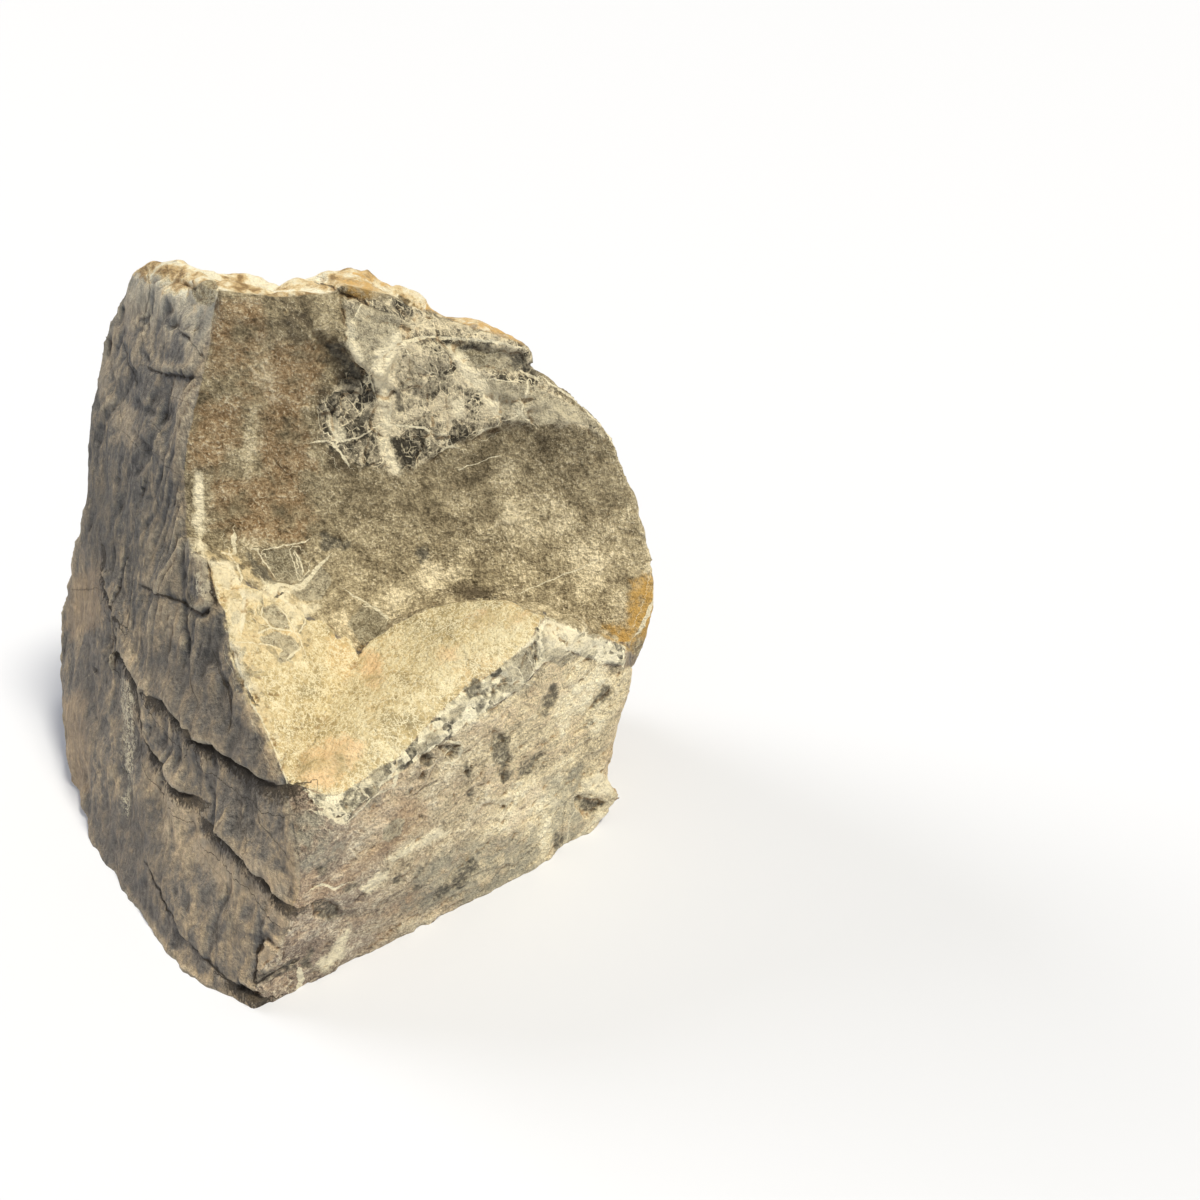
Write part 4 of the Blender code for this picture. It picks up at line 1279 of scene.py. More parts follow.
# The areas that the material knows: their outlines, how many pixels those are bent, a seed, and how soft and how
# ragged the area's edge is in the material.
AREAS = {
    "left": ([LEFT_FACE], 0.0, 0, 1.0, 1.0),
    "wall": ([BACK_WALL], 0.0, 0, 1.0, 1.0),
    "pale": ([RAMP_FACE, LEDGE_FACE], 0.5, 3, 0.8, 1.0),
    "band": ([BAND_FACE], 1.5, 5, 1.0, 2.5),
    "front": ([FRONT_FACE], 0.5, 6, 1.0, 1.0),
    "web": ([WEB], 3.0, 8, 3.0, 3.0),
    "shards": ([SHARDS], 4.0, 9, 4.0, 4.0),
    "milk": (MILK, 1.5, 200, 3.0, 3.0),
    "dark": (DARK, 1.0, 230, 2.0, 3.0),
    "slate": (SLATE, 1.0, 250, 0.8, 1.2),
    "rust": (RUST, 6.0, 260, 7.0, 4.0),
    "orange": (ORANGE, 3.0, 280, 6.0, 4.0),
    "cloud": (CLOUD, 3.0, 300, 5.0, 4.0),
    "gloom": (SHADOWY, 5.0, 320, 7.0, 4.0),
}

# How far from a line, in millimetres, and from an outline, in pixels, the numbers on the mesh go on, and how many
# pixels a millimetre is at the middle of the picture.
LINE_REACH = 3.0
LIP_REACH = 8.0
OUTLINE_REACH = 8.0
PIXELS_PER_MM = 3.6


def area_depth(view, name):
    """How many pixels each point lies inside any outline of an area. The back wall goes on where the front block
    hides it, the pale faces have a ragged border with the wall, and the dark spots take in the pits, painted dark
    as shade in them."""
    outlines, bend, seed, *_ = AREAS[name]
    found = np.full(len(view.points), -OUTLINE_REACH)
    for number, outline in enumerate(outlines):
        found = np.maximum(found, view.depth(outline, OUTLINE_REACH, bend, seed + number))
    if name == "wall":
        found = np.maximum(found, 2.0 * OUTLINE_REACH * (tucked_wall(view) - 0.5))
    elif name == "pale":
        near, off, _ = view.along(RAMP_HEAD[1:], 5.0, 4.0)
        ragged = rough_noise(view.points[near], 5.0, 3, 0.6, 8)
        found[near] += 9.0 * (1.0 - rise(np.abs(off), 0.0, 5.0)) * ragged
    elif name == "dark":
        for pixel, radius, _ in PITS:
            found = np.maximum(found, (0.8 * radius - view.away_from(pixel)) * PIXELS_PER_MM)
    return found


def line_field(view, lines, sway, reach=LINE_REACH):
    """Signed distance to the nearest line, and its half width there, for every point within reach of a line."""
    off = np.full(len(view.points), reach)
    wide = np.zeros(len(view.points))
    for number, (pixels, first, last) in enumerate(lines):
        near, away, where = view.along(pixels, reach, 5.0, sway, number)
        taper = 0.35 + 0.65 * np.minimum(rise(where, 0.0, 0.1), 1.0 - rise(where, 0.9, 1.0))
        width = (first + (last - first) * where) * taper
        closer = np.abs(away) - width < np.abs(off[near]) - wide[near]
        off[near[closer]] = away[closer]
        wide[near[closer]] = width[closer]
    return off, wide


def paint(stone):
    """Stores on the mesh what its material needs to know about each point."""
    mesh = stone.data
    points, normals, triangles = measured(mesh)
    links = links_of(triangles)
    broad = unit(settled(normals, links, 16))
    view = View(points, broad)
    kind = zones(view)
    top = rise(points[:, 2], 160.0, 171.0) * rise(broad[:, 2], 0.3, 0.7)

    values = {name: area_depth(view, name) for name in AREAS}
    values["crest"] = settled(np.maximum(kind["crest"], top), links, 14)
    values["skin"] = kind["skin"]
    # Painted light and shade: how much more each small face turns towards the fill light than its surroundings.
    values["fill_facing"] = settled(normals, links, 3) @ TOWARDS_FILL_LIGHT - broad @ TOWARDS_FILL_LIGHT
    # For the painted highlight on proud edges, and the painted light on ridges and shade in hollows.
    values["proud"] = ((points - settled(points, links, 2)) * broad).sum(1)
    values["hill"] = ((points - settled(points, links, 14)) * broad).sum(1)
    cracks = [(pixels, 0.9 * half, 0.6 * half) for pixels, half, *_ in CRACKS]
    cracks += [(pixels, half, half) for pixels, half in HAIRLINES]
    # The lips of the deep cracks, below which the material paints a shadow.
    lips = [(pixels, half, half) for pixels, half, _, proud, _ in CRACKS if proud > 0.8]
    values["vein_and_highlight_off"], values["vein_and_highlight_wide"] = line_field(view, VEINS_AND_EDGE_HIGHLIGHTS, 0.6)
    values["crack_off"], values["crack_wide"] = line_field(view, cracks, 0.7)
    values["lip_off"], values["lip_wide"] = line_field(view, lips, 0.7, LIP_REACH)

    for name, share in values.items():
        layer = mesh.attributes.new(name, "FLOAT", "POINT")
        layer.data.foreach_set("value", np.asarray(share, np.float32))
    mesh.polygons.foreach_set("use_smooth", np.ones(len(mesh.polygons), bool))


# ---------------------------------------------------------------------------------------------------------------
# The material
# ---------------------------------------------------------------------------------------------------------------


class Shader:
    """Writes a material's nodes as nested calls. Lengths are in millimetres."""

    def __init__(self, name):
        self.material = bpy.data.materials.new(name)
        self.material.use_nodes = True
        self.nodes = self.material.node_tree.nodes
        self.links = self.material.node_tree.links
        self.surface = self.nodes["Principled BSDF"]
        place = self.node("ShaderNodeTexCoord").outputs["Object"]
        self.place = self.vector("SCALE", place, scale=1.0 / MM)

    def node(self, kind, **settings):
        made = self.nodes.new(kind)
        for key, value in settings.items():
            setattr(made, key, value)
        return made

    def put(self, socket, value):
        if isinstance(value, bpy.types.NodeSocket):
            self.links.new(value, socket)
        else:
            socket.default_value = value

    def math(self, operation, *values):
        made = self.node("ShaderNodeMath", operation=operation)
        for socket, value in zip(made.inputs, values):
            self.put(socket, value)
        return made.outputs[0]

    def chain(self, operation, values):
        total = values[0]
        for value in values[1:]:
            total = self.math(operation, total, value)
        return total

    def add(self, *values):
        return self.chain("ADD", values)

    def times(self, *values):
        return self.chain("MULTIPLY", values)

    def most(self, *values):
        return self.chain("MAXIMUM", values)

    def blend(self, *pairs):
        """The sum of some noises, each with its weight."""
        return self.add(*(self.times(value, weight) for value, weight in pairs))

    def swing(self, value, size):
        """A noise from 0 to 1 turned into one from about -size to size."""
        return self.times(self.add(value, -0.5), 2.0 * size)

    def without(self, value):
        return self.math("SUBTRACT", 1.0, value)

    def vector(self, operation, first, second=None, scale=None):
        made = self.node("ShaderNodeVectorMath", operation=operation)
        self.put(made.inputs[0], first)
        if second is not None:
            self.put(made.inputs[1], second)
        if scale is not None:
            self.put(made.inputs["Scale"], scale)
        return made.outputs[0]

    def number(self, name):
        """A number that is stored on the mesh's points."""
        return self.node("ShaderNodeAttribute", attribute_name=name).outputs["Fac"]

    def along(self, axis):
        split = self.node("ShaderNodeSeparateXYZ")
        self.put(split.inputs[0], self.place)
        return split.outputs[axis]

    def step(self, value, low, high):
        """0 below low, 1 above high, and a smooth turn between them. It falls instead where high is below low."""
        made = self.node("ShaderNodeMapRange", interpolation_type="SMOOTHSTEP")
        self.put(made.inputs["Value"], value)
        self.put(made.inputs["From Min"], low)
        self.put(made.inputs["From Max"], high)
        return made.outputs["Result"]

    def line(self, distance, half, soft=0.12):
        """1 on a line of some half width, 0 off it."""
        away = self.math("ABSOLUTE", distance)
        return self.without(self.step(self.math("SUBTRACT", away, half), -soft, soft))

    def noise(self, size, detail=2.0, rough=0.5, place=None, colour=False):
        made = self.node("ShaderNodeTexNoise")
        self.put(made.inputs["Vector"], place or self.place)
        made.inputs["Scale"].default_value = 1.0 / size
        made.inputs["Detail"].default_value = detail
        made.inputs["Roughness"].default_value = rough
        return made.outputs["Color" if colour else "Fac"]

    def stretched(self, factors, place=None):
        return self.vector("MULTIPLY", place or self.place, factors)

    def moved(self, place, offset):
        return self.vector("ADD", place, offset)

    def bent(self, size, amount, place=None):
        """The place, pushed about by noise."""
        push = self.vector("SUBTRACT", self.noise(size, 2.0, 0.5, place, colour=True), (0.5, 0.5, 0.5))
        return self.vector("ADD", place or self.place, self.vector("SCALE", push, scale=2.0 * amount))

    def voronoi(self, feature, output, size, place):
        made = self.node("ShaderNodeTexVoronoi", feature=feature)
        self.put(made.inputs["Vector"], place)
        made.inputs["Scale"].default_value = 1.0 / size
        return made.outputs[output]

    def cell_shade(self, size, place):
        """A random grey for each of some angular cells about size across."""
        split = self.node("ShaderNodeSeparateColor")
        self.put(split.inputs[0], self.voronoi("F1", "Color", size, place))
        return split.outputs[0]

    def cell_border(self, size, place):
        """The distance to the border of the same cells."""
        return self.times(self.voronoi("DISTANCE_TO_EDGE", "Distance", size, place), size)

    def tones(self, value, stops):
        """A colour that runs through some stops, each a value and its colour."""
        made = self.node("ShaderNodeValToRGB")
        self.put(made.inputs[0], value)
        elements = made.color_ramp.elements
        while len(elements) < len(stops):
            elements.new(0.5)
        for element, (at, colour) in zip(elements, stops):
            element.position = at
            element.color = (*colour, 1.0)
        return made.outputs[0]

    def mix(self, share, first, second, kind="MIX"):
        made = self.node("ShaderNodeMix", data_type="RGBA", blend_type=kind)
        self.put(made.inputs["Factor"], share)
        for socket, value in ((made.inputs[6], first), (made.inputs[7], second)):
            self.put(socket, (*value, 1.0) if isinstance(value, tuple) else value)
        return made.outputs[2]

    def over(self, base, colour, *shares):
        """A colour laid over another, by the product of some shares."""
        return self.mix(self.times(*shares), base, colour)

    def tinted(self, colour, tint, share=1.0):
        return self.mix(share, colour, tint, "MULTIPLY")

    def vary(self, colour, noise, amount):
        """The colour made lighter and darker by a noise."""
        return self.vector("SCALE", colour, scale=self.add(self.times(noise, 2.0 * amount), 1.0 - amount))


# Noises that many surfaces share: size, detail and roughness.
NOISES = {
    "grain": (0.6, 2.0, 0.7),
    "fine": (1.4, 3.0, 0.65),
    "medium": (4.0, 4.0, 0.62),
    "patchy": (9.0, 3.0, 0.6),
    "broad": (26.0, 3.0, 0.55),
    "ragged": (2.4, 4.0, 0.65),
}


class Limestone(Shader):
    """The rock's material, with the noises and areas that its surfaces share. Areas go from 0 to 1 inside."""

    def __init__(self):
        super().__init__("veined_limestone")
        for name, (size, detail, rough) in NOISES.items():
            setattr(self, name, self.noise(size, detail, rough))
        self.curved = self.bent(9.0, 1.0)
        self.crooked = self.bent(1.7, 0.18, self.curved)
        self.height = self.along("Z")
        self.proud, self.hill, self.hidden = (self.number(name) for name in ("proud", "hill", "skin"))
        for name, (_, _, _, soft, reach) in AREAS.items():
            value = self.add(self.number(name), self.swing(self.ragged, 2.5 * reach))
            setattr(self, name, self.step(value, -soft, soft))
        # Lighter in the pale clouds, darker in the shadowy areas, which on the back wall are partly painted shade.
        self.cloud_less_gloom = self.times(self.add(self.cloud, self.times(self.gloom, -1.0)), 0.06)

        self.threads = self.most(self.lace(3.0, 0.020, (0.0, 0.0, 0.0)), self.lace(1.8, 0.022, (31.0, 17.0, 5.0)))
        piece_place = self.moved(self.crooked, (7.0, 3.0, 1.0))
        self.piece_shade = self.cell_shade(2.7, piece_place)
        self.piece_border = self.cell_border(2.7, piece_place)
        self.strand = self.noise(1.0, 4.0, 0.65, self.stretched((1.0, 1.0, 0.13), self.bent(14.0, 3.0)))
        self.drape = self.noise(4.5, 3.0, 0.6, self.stretched((1.0, 1.0, 0.22), self.bent(12.0, 3.0)))
        self.pocks = self.times(self.hidden, self.step(self.noise(2.2, 3.0, 0.6), 0.42, 0.34))
        self.streak_place = self.turned(self.curved, STREAK)
        self.streak = self.drawn_out(2.2, 4.0, 0.65, 0.30)
        self.wide_streak = self.drawn_out(8.0, 4.0, 0.6, 0.45)
        self.layer = self.drawn_out(11.0, 5.0, 0.62, 0.55)
        layer = self.layer
        self.layers = self.blend((self.step(layer, 0.43, 0.45), 0.5), (self.step(layer, 0.52, 0.54), 0.5))
        broken = self.step(self.blend((self.fine, 0.5), (self.medium, 0.5)), 0.66, 0.50)
        self.dark = self.times(self.dark, broken)
        self.web = self.times(self.web, self.wall)
        self.crack = self.crack_share()

    def lace(self, size, half, offset):
        """Fine crisp winding threads, about size apart."""
        place = self.moved(self.place, offset)
        return self.line(self.add(self.noise(size, 3.0, 0.6, place), -0.5), half, 0.6 * half)

    def turned(self, place, direction):
        """The place, turned so that the direction becomes the X axis."""
        sideways = Vector((1.0, 0.0, 0.0))
        made = self.node("ShaderNodeVectorRotate", rotation_type="AXIS_ANGLE")
        self.put(made.inputs["Vector"], place)
        made.inputs["Axis"].default_value = Vector(direction).cross(sideways).normalized()
        made.inputs["Angle"].default_value = Vector(direction).angle(sideways)
        return made.outputs[0]

    def drawn_out(self, size, detail, rough, along):
        """Noise drawn out along the streaks."""
        return self.noise(size, detail, rough, self.stretched((along, 1.0, 1.0), self.streak_place))

    def crack_share(self):
        width = self.number("crack_wide")
        off = self.add(self.number("crack_off"), self.swing(self.noise(1.2, 3.0, 0.6), 0.4))
        opening = self.times(width, self.add(self.times(self.noise(2.5, 3.0, 0.7), 2.4), -0.6))
        return self.times(self.line(off, opening, 0.12), self.step(width, 0.05, 0.6))


# Colours as red, green and blue. Tones run through some colours as a noise, which lies around 0.5, rises.
SKIN_TONES = (
    (0.36, (0.105, 0.100, 0.098)), (0.45, (0.205, 0.196, 0.185)),
    (0.54, (0.330, 0.288, 0.228)), (0.64, (0.520, 0.450, 0.345)),
)
LEVEL_TINTS = (
    (0.0, (1.0, 0.94, 0.88)), (0.40, (0.93, 0.88, 0.82)), (0.55, (0.66, 0.645, 0.63)), (0.88, (0.80, 0.79, 0.79)),
)
SHADE_TINT = (0.80, 0.86, 0.94)
SUNNY_TINT = (1.22, 1.12, 0.98)
PALE_SKIN = (0.560, 0.480, 0.370)
STAINED_SKIN = (0.480, 0.370, 0.250)
DARK_SKIN = (0.150, 0.142, 0.136)
TOP_SKIN = (0.640, 0.590, 0.480)
HIDDEN_SKIN = (0.270, 0.245, 0.205)
IRON = (0.420, 0.300, 0.175)
CALCITE = (0.720, 0.650, 0.500)
POCK = (0.070, 0.063, 0.055)
CRUST_TONES = (
    (0.41, (0.300, 0.200, 0.095)), (0.46, (0.600, 0.440, 0.240)),
    (0.51, (0.790, 0.680, 0.460)), (0.56, (0.870, 0.825, 0.670)),
)
OCHRE = (0.640, 0.400, 0.140)
WALL_TONES = (
    (0.39, (0.085, 0.066, 0.038)), (0.46, (0.200, 0.163, 0.100)),
    (0.53, (0.350, 0.295, 0.190)), (0.62, (0.640, 0.560, 0.390)),
)
RUSTY_TONES = (
    (0.40, (0.085, 0.050, 0.024)), (0.47, (0.225, 0.145, 0.072)),
    (0.53, (0.345, 0.250, 0.145)), (0.61, (0.540, 0.450, 0.310)),
)
WALL_SPECK = (0.660, 0.590, 0.440)
WALL_ORANGE = (0.340, 0.205, 0.055)
# Partly painted shade, for the back wall's shadowy areas such as the hollow left of the fresh facet.
WALL_DARK = (0.105, 0.082, 0.058)
GOLDEN_TONES = (
    (0.41, (0.400, 0.320, 0.170)), (0.47, (0.570, 0.455, 0.245)),
    (0.53, (0.710, 0.590, 0.345)), (0.60, (0.850, 0.760, 0.510)),
)
AMBER = (0.760, 0.540, 0.270)
GOLDEN_DARK = (0.420, 0.365, 0.225)
ORANGE_STAIN = (0.920, 0.640, 0.370)
BROWN_GRAIN = (0.330, 0.245, 0.120)
CREAM = (0.940, 0.860, 0.620)
GREY_TONES = (
    (0.40, (0.045, 0.039, 0.028)), (0.465, (0.140, 0.122, 0.088)),
    (0.53, (0.330, 0.288, 0.206)), (0.59, (0.690, 0.605, 0.435)),
)
NET = (0.900, 0.800, 0.570)
SLATE_TONES = ((0.40, (0.195, 0.172, 0.122)), (0.50, (0.360, 0.317, 0.226)), (0.60, (0.600, 0.535, 0.380)))
SLATE_DARK = (0.200, 0.170, 0.105)
SLATE_THREAD = (0.700, 0.640, 0.470)
PIECE_TONES = (
    (0.30, (0.100, 0.092, 0.070)), (0.38, (0.380, 0.349, 0.258)),
    (0.47, (0.740, 0.675, 0.490)), (0.58, (0.960, 0.890, 0.670)),
)
PIECE_BORDER = (0.920, 0.850, 0.650)
SHARD_TINT = (0.800, 0.700, 0.550)
MAUVE_TONES = (
    (0.40, (0.110, 0.083, 0.066)), (0.46, (0.230, 0.180, 0.142)),
    (0.53, (0.385, 0.312, 0.243)), (0.60, (0.680, 0.600, 0.470)),
)
OLIVE_TONES = (
    (0.39, (0.300, 0.255, 0.175)), (0.45, (0.550, 0.465, 0.310)),
    (0.53, (0.820, 0.710, 0.480)), (0.60, (0.940, 0.870, 0.650)),
)
PEACH = (0.660, 0.470, 0.305)
FRONT_DARK = (0.430, 0.420, 0.340)
FRONT_STAIN = (0.480, 0.310, 0.180)
# Painted highlight along the front's layer rims.
LAYER_RIM_HIGHLIGHT = (0.720, 0.640, 0.470)
DARK_TONES = ((0.40, (0.058, 0.053, 0.043)), (0.50, (0.155, 0.140, 0.106)), (0.60, (0.420, 0.375, 0.270)))
MILK_WHITE = (0.940, 0.855, 0.630)
# Veins, and highlights painted along some edges.
VEIN_AND_EDGE_HIGHLIGHT = (0.860, 0.790, 0.590)
# Pale proud edges: wear and painted highlight.
WORN_EDGE_AND_HIGHLIGHT = (0.640, 0.570, 0.430)
# Painted shade in hollows.
HOLLOW_SHADE_TINT = (0.400, 0.260, 0.140)
# Painted shadow below the lips of the deep cracks.
LIP_SHADOW = (0.048, 0.037, 0.027)
CRACK_DARK = (0.055, 0.042, 0.030)


def weathered_sides(s):
    """Grey and tan, drawn out upright, with fine scratches, and painted light and shade: ridges lighter and tan,
    hollows darker and grey, small faces turned towards the fill light tinted sunny and those turned away tinted
    as in shade. The sides that the picture doesn't show also have iron stains, seams of calcite and pocks."""
    # Painted light and shade: points standing above their surroundings lighter and tan, hollows darker.
    high = s.step(s.add(s.hill, s.swing(s.drape, 0.5)), -0.5, 0.7)
    colour = s.tones(s.blend((high, 0.18), (s.broad, 0.36), (s.drape, 0.24), (s.fine, 0.22)), SKIN_TONES)
    colour = s.over(colour, PALE_SKIN, s.cloud, 0.6)
    colour = s.over(colour, STAINED_SKIN, s.orange, 0.5)
    colour = s.over(colour, DARK_SKIN, s.gloom, 0.5)

    iron = s.step(s.noise(38.0, 3.0, 0.6), 0.48, 0.62)
    seam = s.cell_border(27.0, s.bent(2.2, 0.5, s.bent(16.0, 4.0)))
    calcite = s.times(s.line(seam, s.times(s.patchy, 0.55), 0.15), s.step(s.noise(20.0, 3.0, 0.6), 0.44, 0.54))
    colour = s.over(colour, HIDDEN_SKIN, s.hidden, 0.35)
    colour = s.over(colour, IRON, s.hidden, iron, 0.5)
    colour = s.over(colour, CALCITE, s.hidden, calcite, 0.8)
    colour = s.over(colour, POCK, s.pocks, 0.6)

    level = s.times(s.add(s.height, s.swing(s.patchy, 25.0)), 1.0 / 175.0)
    colour = s.vector("SCALE", s.tinted(colour, s.tones(level, LEVEL_TINTS)), scale=1.12)
    colour = s.over(colour, TOP_SKIN, s.step(s.add(s.height, s.swing(s.drape, 14.0)), 153.0, 169.0), 0.75)
    # Painted light and shade: small faces turned towards the fill light tinted sunny, those turned away as in
    # shade.
    fill_facing = s.step(s.add(s.number("fill_facing"), s.swing(s.drape, 0.15)), -0.30, 0.30)
    colour = s.tinted(colour, s.mix(fill_facing, SHADE_TINT, SUNNY_TINT))
    return s.vary(s.vary(colour, s.strand, 0.5), s.fine, 0.3)


def crest(s):
    """A cream crust stained with ochre."""
    colour = s.tones(s.blend((s.patchy, 0.50), (s.medium, 0.35), (s.fine, 0.15)), CRUST_TONES)
    colour = s.over(colour, OCHRE, s.orange, s.step(s.medium, 0.42, 0.58), 0.9)
    return s.vary(colour, s.grain, 0.3)


def back_wall(s):
    """Brown grey and granular, rusty high on the left, lighter towards its foot, and darker in its shadowy areas,
    which is partly painted shade.
    """
    mottle = s.blend((s.medium, 0.18), (s.fine, 0.32), (s.patchy, 0.24), (s.grain, 0.12), (s.broad, 0.14))
    mottle = s.add(mottle, s.cloud_less_gloom)
    colour = s.tones(mottle, WALL_TONES)
    colour = s.over(colour, s.tones(mottle, RUSTY_TONES), s.rust, s.step(s.patchy, 0.30, 0.54), 0.95)
    specks = s.times(s.step(s.noise(0.7, 1.0, 0.5), 0.60, 0.66), s.step(s.patchy, 0.35, 0.6))
    colour = s.over(colour, WALL_SPECK, specks, 0.5)
    colour = s.over(colour, WALL_ORANGE, s.orange, s.step(s.medium, 0.25, 0.50), 0.95)
    # Painted shade in part: the wall's shadowy areas darkened, deepening the hollow left of the fresh facet.
    colour = s.over(colour, WALL_DARK, s.gloom, s.step(s.medium, 0.60, 0.45), 0.35)
    colour = s.vary(colour, s.grain, 0.5)
    return s.vector("SCALE", colour, scale=s.add(1.0, s.times(s.step(s.height, 125.0, 66.0), 0.6)))


def ramp_and_ledge(s):
    """Golden, with a fine bright net."""
    golden = s.blend((s.broad, 0.36), (s.patchy, 0.28), (s.medium, 0.20), (s.fine, 0.16))
    colour = s.tones(s.add(golden, s.cloud_less_gloom), GOLDEN_TONES)
    colour = s.over(colour, AMBER, s.step(s.noise(14.0, 4.0, 0.6), 0.50, 0.66), 0.5)
    colour = s.over(colour, GOLDEN_DARK, s.gloom, s.step(s.medium, 0.62, 0.40), 0.55)
    colour = s.over(colour, ORANGE_STAIN, s.orange, s.step(s.patchy, 0.30, 0.60), 0.75)
    colour = s.over(colour, BROWN_GRAIN, s.step(s.fine, 0.44, 0.32), 0.45)
    colour = s.vary(colour, s.grain, 0.3)
    return s.over(colour, CREAM, s.threads, s.add(s.times(s.orange, -0.6), 0.80))


def web_of_veins(s):
    """Broken fragments of dark grey rock, each its own shade, in cream veins that come and go."""
    place = s.stretched((1.0, 1.0, 0.7), s.crooked)
    shade, border = s.cell_shade(6.0, place), s.cell_border(6.0, place)
    coming = s.step(s.noise(6.0), 0.46, 0.60)
    net = s.times(s.line(border, 0.11, 0.08), coming)
    small_net = s.times(s.line(s.piece_border, 0.07, 0.05), s.step(s.noise(3.5), 0.48, 0.60))
    tone = s.blend((shade, 0.16), (s.piece_shade, 0.12), (s.fine, 0.32), (s.medium, 0.26), (s.grain, 0.14))
    colour = s.vary(s.tones(s.add(tone, s.cloud_less_gloom), GREY_TONES), s.grain, 0.5)
    flecks = s.noise(0.9, 3.0, 0.65, s.stretched((1.0, 1.0, 0.5), s.crooked))
    colour = s.over(colour, NET, s.step(s.add(flecks, s.times(s.cloud_less_gloom, 1.2)), 0.54, 0.60), 0.35)
    colour = s.over(colour, NET, s.lace(6.0, 0.018, (3.0, 8.0, 1.0)), coming, 0.9)
    colour = s.over(colour, NET, small_net, 0.7)
    return s.over(colour, NET, net, 0.95)


def grey_fragments(s):
    """Single fragments of mid grey rock with few veins."""
    tone = s.blend((s.medium, 0.4), (s.fine, 0.4), (s.grain, 0.2))
    colour = s.tones(s.add(tone, s.cloud_less_gloom), SLATE_TONES)
    colour = s.over(colour, SLATE_DARK, s.gloom, 0.75)
    return s.over(colour, SLATE_THREAD, s.threads, 0.5)


def small_pieces(s):
    """The grey and cream pieces of the broken band."""
    tone = s.blend((s.piece_shade, 0.40), (s.fine, 0.32), (s.medium, 0.28))
    colour = s.vary(s.tones(s.add(tone, s.cloud_less_gloom), PIECE_TONES), s.grain, 0.4)
    return s.over(colour, PIECE_BORDER, s.line(s.piece_border, 0.09, 0.07), s.step(s.fine, 0.40, 0.52), 0.7)


def front_face(s):
    """Thin layers of tan and mauve, drawn out along the streaks, greener to the right, with glints painted as
    highlights along the layers' rims.
    """
    # Painted highlight: thin bright glints along the rims of the layers.
    rim_highlights = s.most(s.line(s.add(s.layer, -0.45), 0.004, 0.006), s.line(s.add(s.layer, -0.54), 0.003, 0.005))
    tone = s.blend(
        (s.wide_streak, 0.16), (s.streak, 0.12), (s.medium, 0.18), (s.broad, 0.10), (s.fine, 0.26), (s.grain, 0.18)
    )
    tone = s.add(tone, s.swing(s.layers, 0.030), s.cloud_less_gloom)
    rightward = s.step(s.add(s.along("X"), s.swing(s.patchy, 30.0)), 0.0, 75.0)
    colour = s.mix(rightward, s.tones(tone, MAUVE_TONES), s.tones(tone, OLIVE_TONES))
    peach = s.times(s.step(s.drawn_out(13.0, 4.0, 0.65, 0.6), 0.48, 0.58), s.step(s.fine, 0.35, 0.55))
    colour = s.over(colour, PEACH, peach, 0.35)
    colour = s.over(colour, FRONT_DARK, s.gloom, s.step(s.medium, 0.66, 0.44), 0.5)
    colour = s.over(colour, FRONT_STAIN, s.orange, 0.35)
    colour = s.vary(colour, s.grain, 0.6)
    return s.over(colour, LAYER_RIM_HIGHLIGHT, rim_highlights, s.step(s.fine, 0.42, 0.54), 0.7)


def surfaces(s):
    """Each surface's colour in its own place."""
    in_crest = s.step(s.add(s.number("crest"), s.swing(s.ragged, 0.6)), 0.3, 0.7)
    colour = s.mix(in_crest, weathered_sides(s), crest(s))
    colour = s.mix(s.wall, colour, back_wall(s))
    colour = s.mix(s.front, colour, front_face(s))
    colour = s.mix(s.pale, colour, ramp_and_ledge(s))
    colour = s.mix(s.web, colour, web_of_veins(s))
    pieces = small_pieces(s)
    colour = s.over(colour, s.tinted(pieces, SHARD_TINT), s.shards, s.step(s.medium, 0.38, 0.54), 0.75)
    colour = s.mix(s.band, colour, pieces)
    colour = s.over(colour, grey_fragments(s), s.slate, 0.85)
    # Dark grey fragments, and painted shade in hollows and pits.
    darkness = s.tones(s.blend((s.fine, 0.6), (s.medium, 0.4)), DARK_TONES)
    return s.over(colour, darkness, s.dark, 0.85)


def with_veins_and_edge_highlights(s, colour):
    """Milky belts of fine threads, single veins, and highlights painted along the ramp's edge and the ledge's rim.
    """
    frost = s.step(s.blend((s.fine, 0.5), (s.grain, 0.5)), 0.47, 0.53)
    frosted = s.times(frost, s.step(s.patchy, 0.36, 0.56), 0.7)
    solid = s.times(s.add(s.times(s.step(s.medium, 0.38, 0.56), 0.4), 0.6), s.without(s.left))
    milk = s.times(s.milk, s.most(frosted, solid))
    colour = s.over(colour, MILK_WHITE, milk, s.add(0.95, s.times(s.pale, -0.35)))
    # Single veins, and painted highlights along the ramp's edge and the ledge's rim.
    width = s.number("vein_and_highlight_wide")
    off = s.add(s.number("vein_and_highlight_off"), s.swing(s.noise(1.5, 3.0, 0.6), 0.5))
    vein_and_highlight = s.line(off, s.times(width, s.add(s.times(s.noise(2.0, 3.0), 1.7), 0.1)), 0.10)
    return s.over(colour, VEIN_AND_EDGE_HIGHLIGHT, vein_and_highlight, s.step(width, 0.02, 0.10), 0.9)


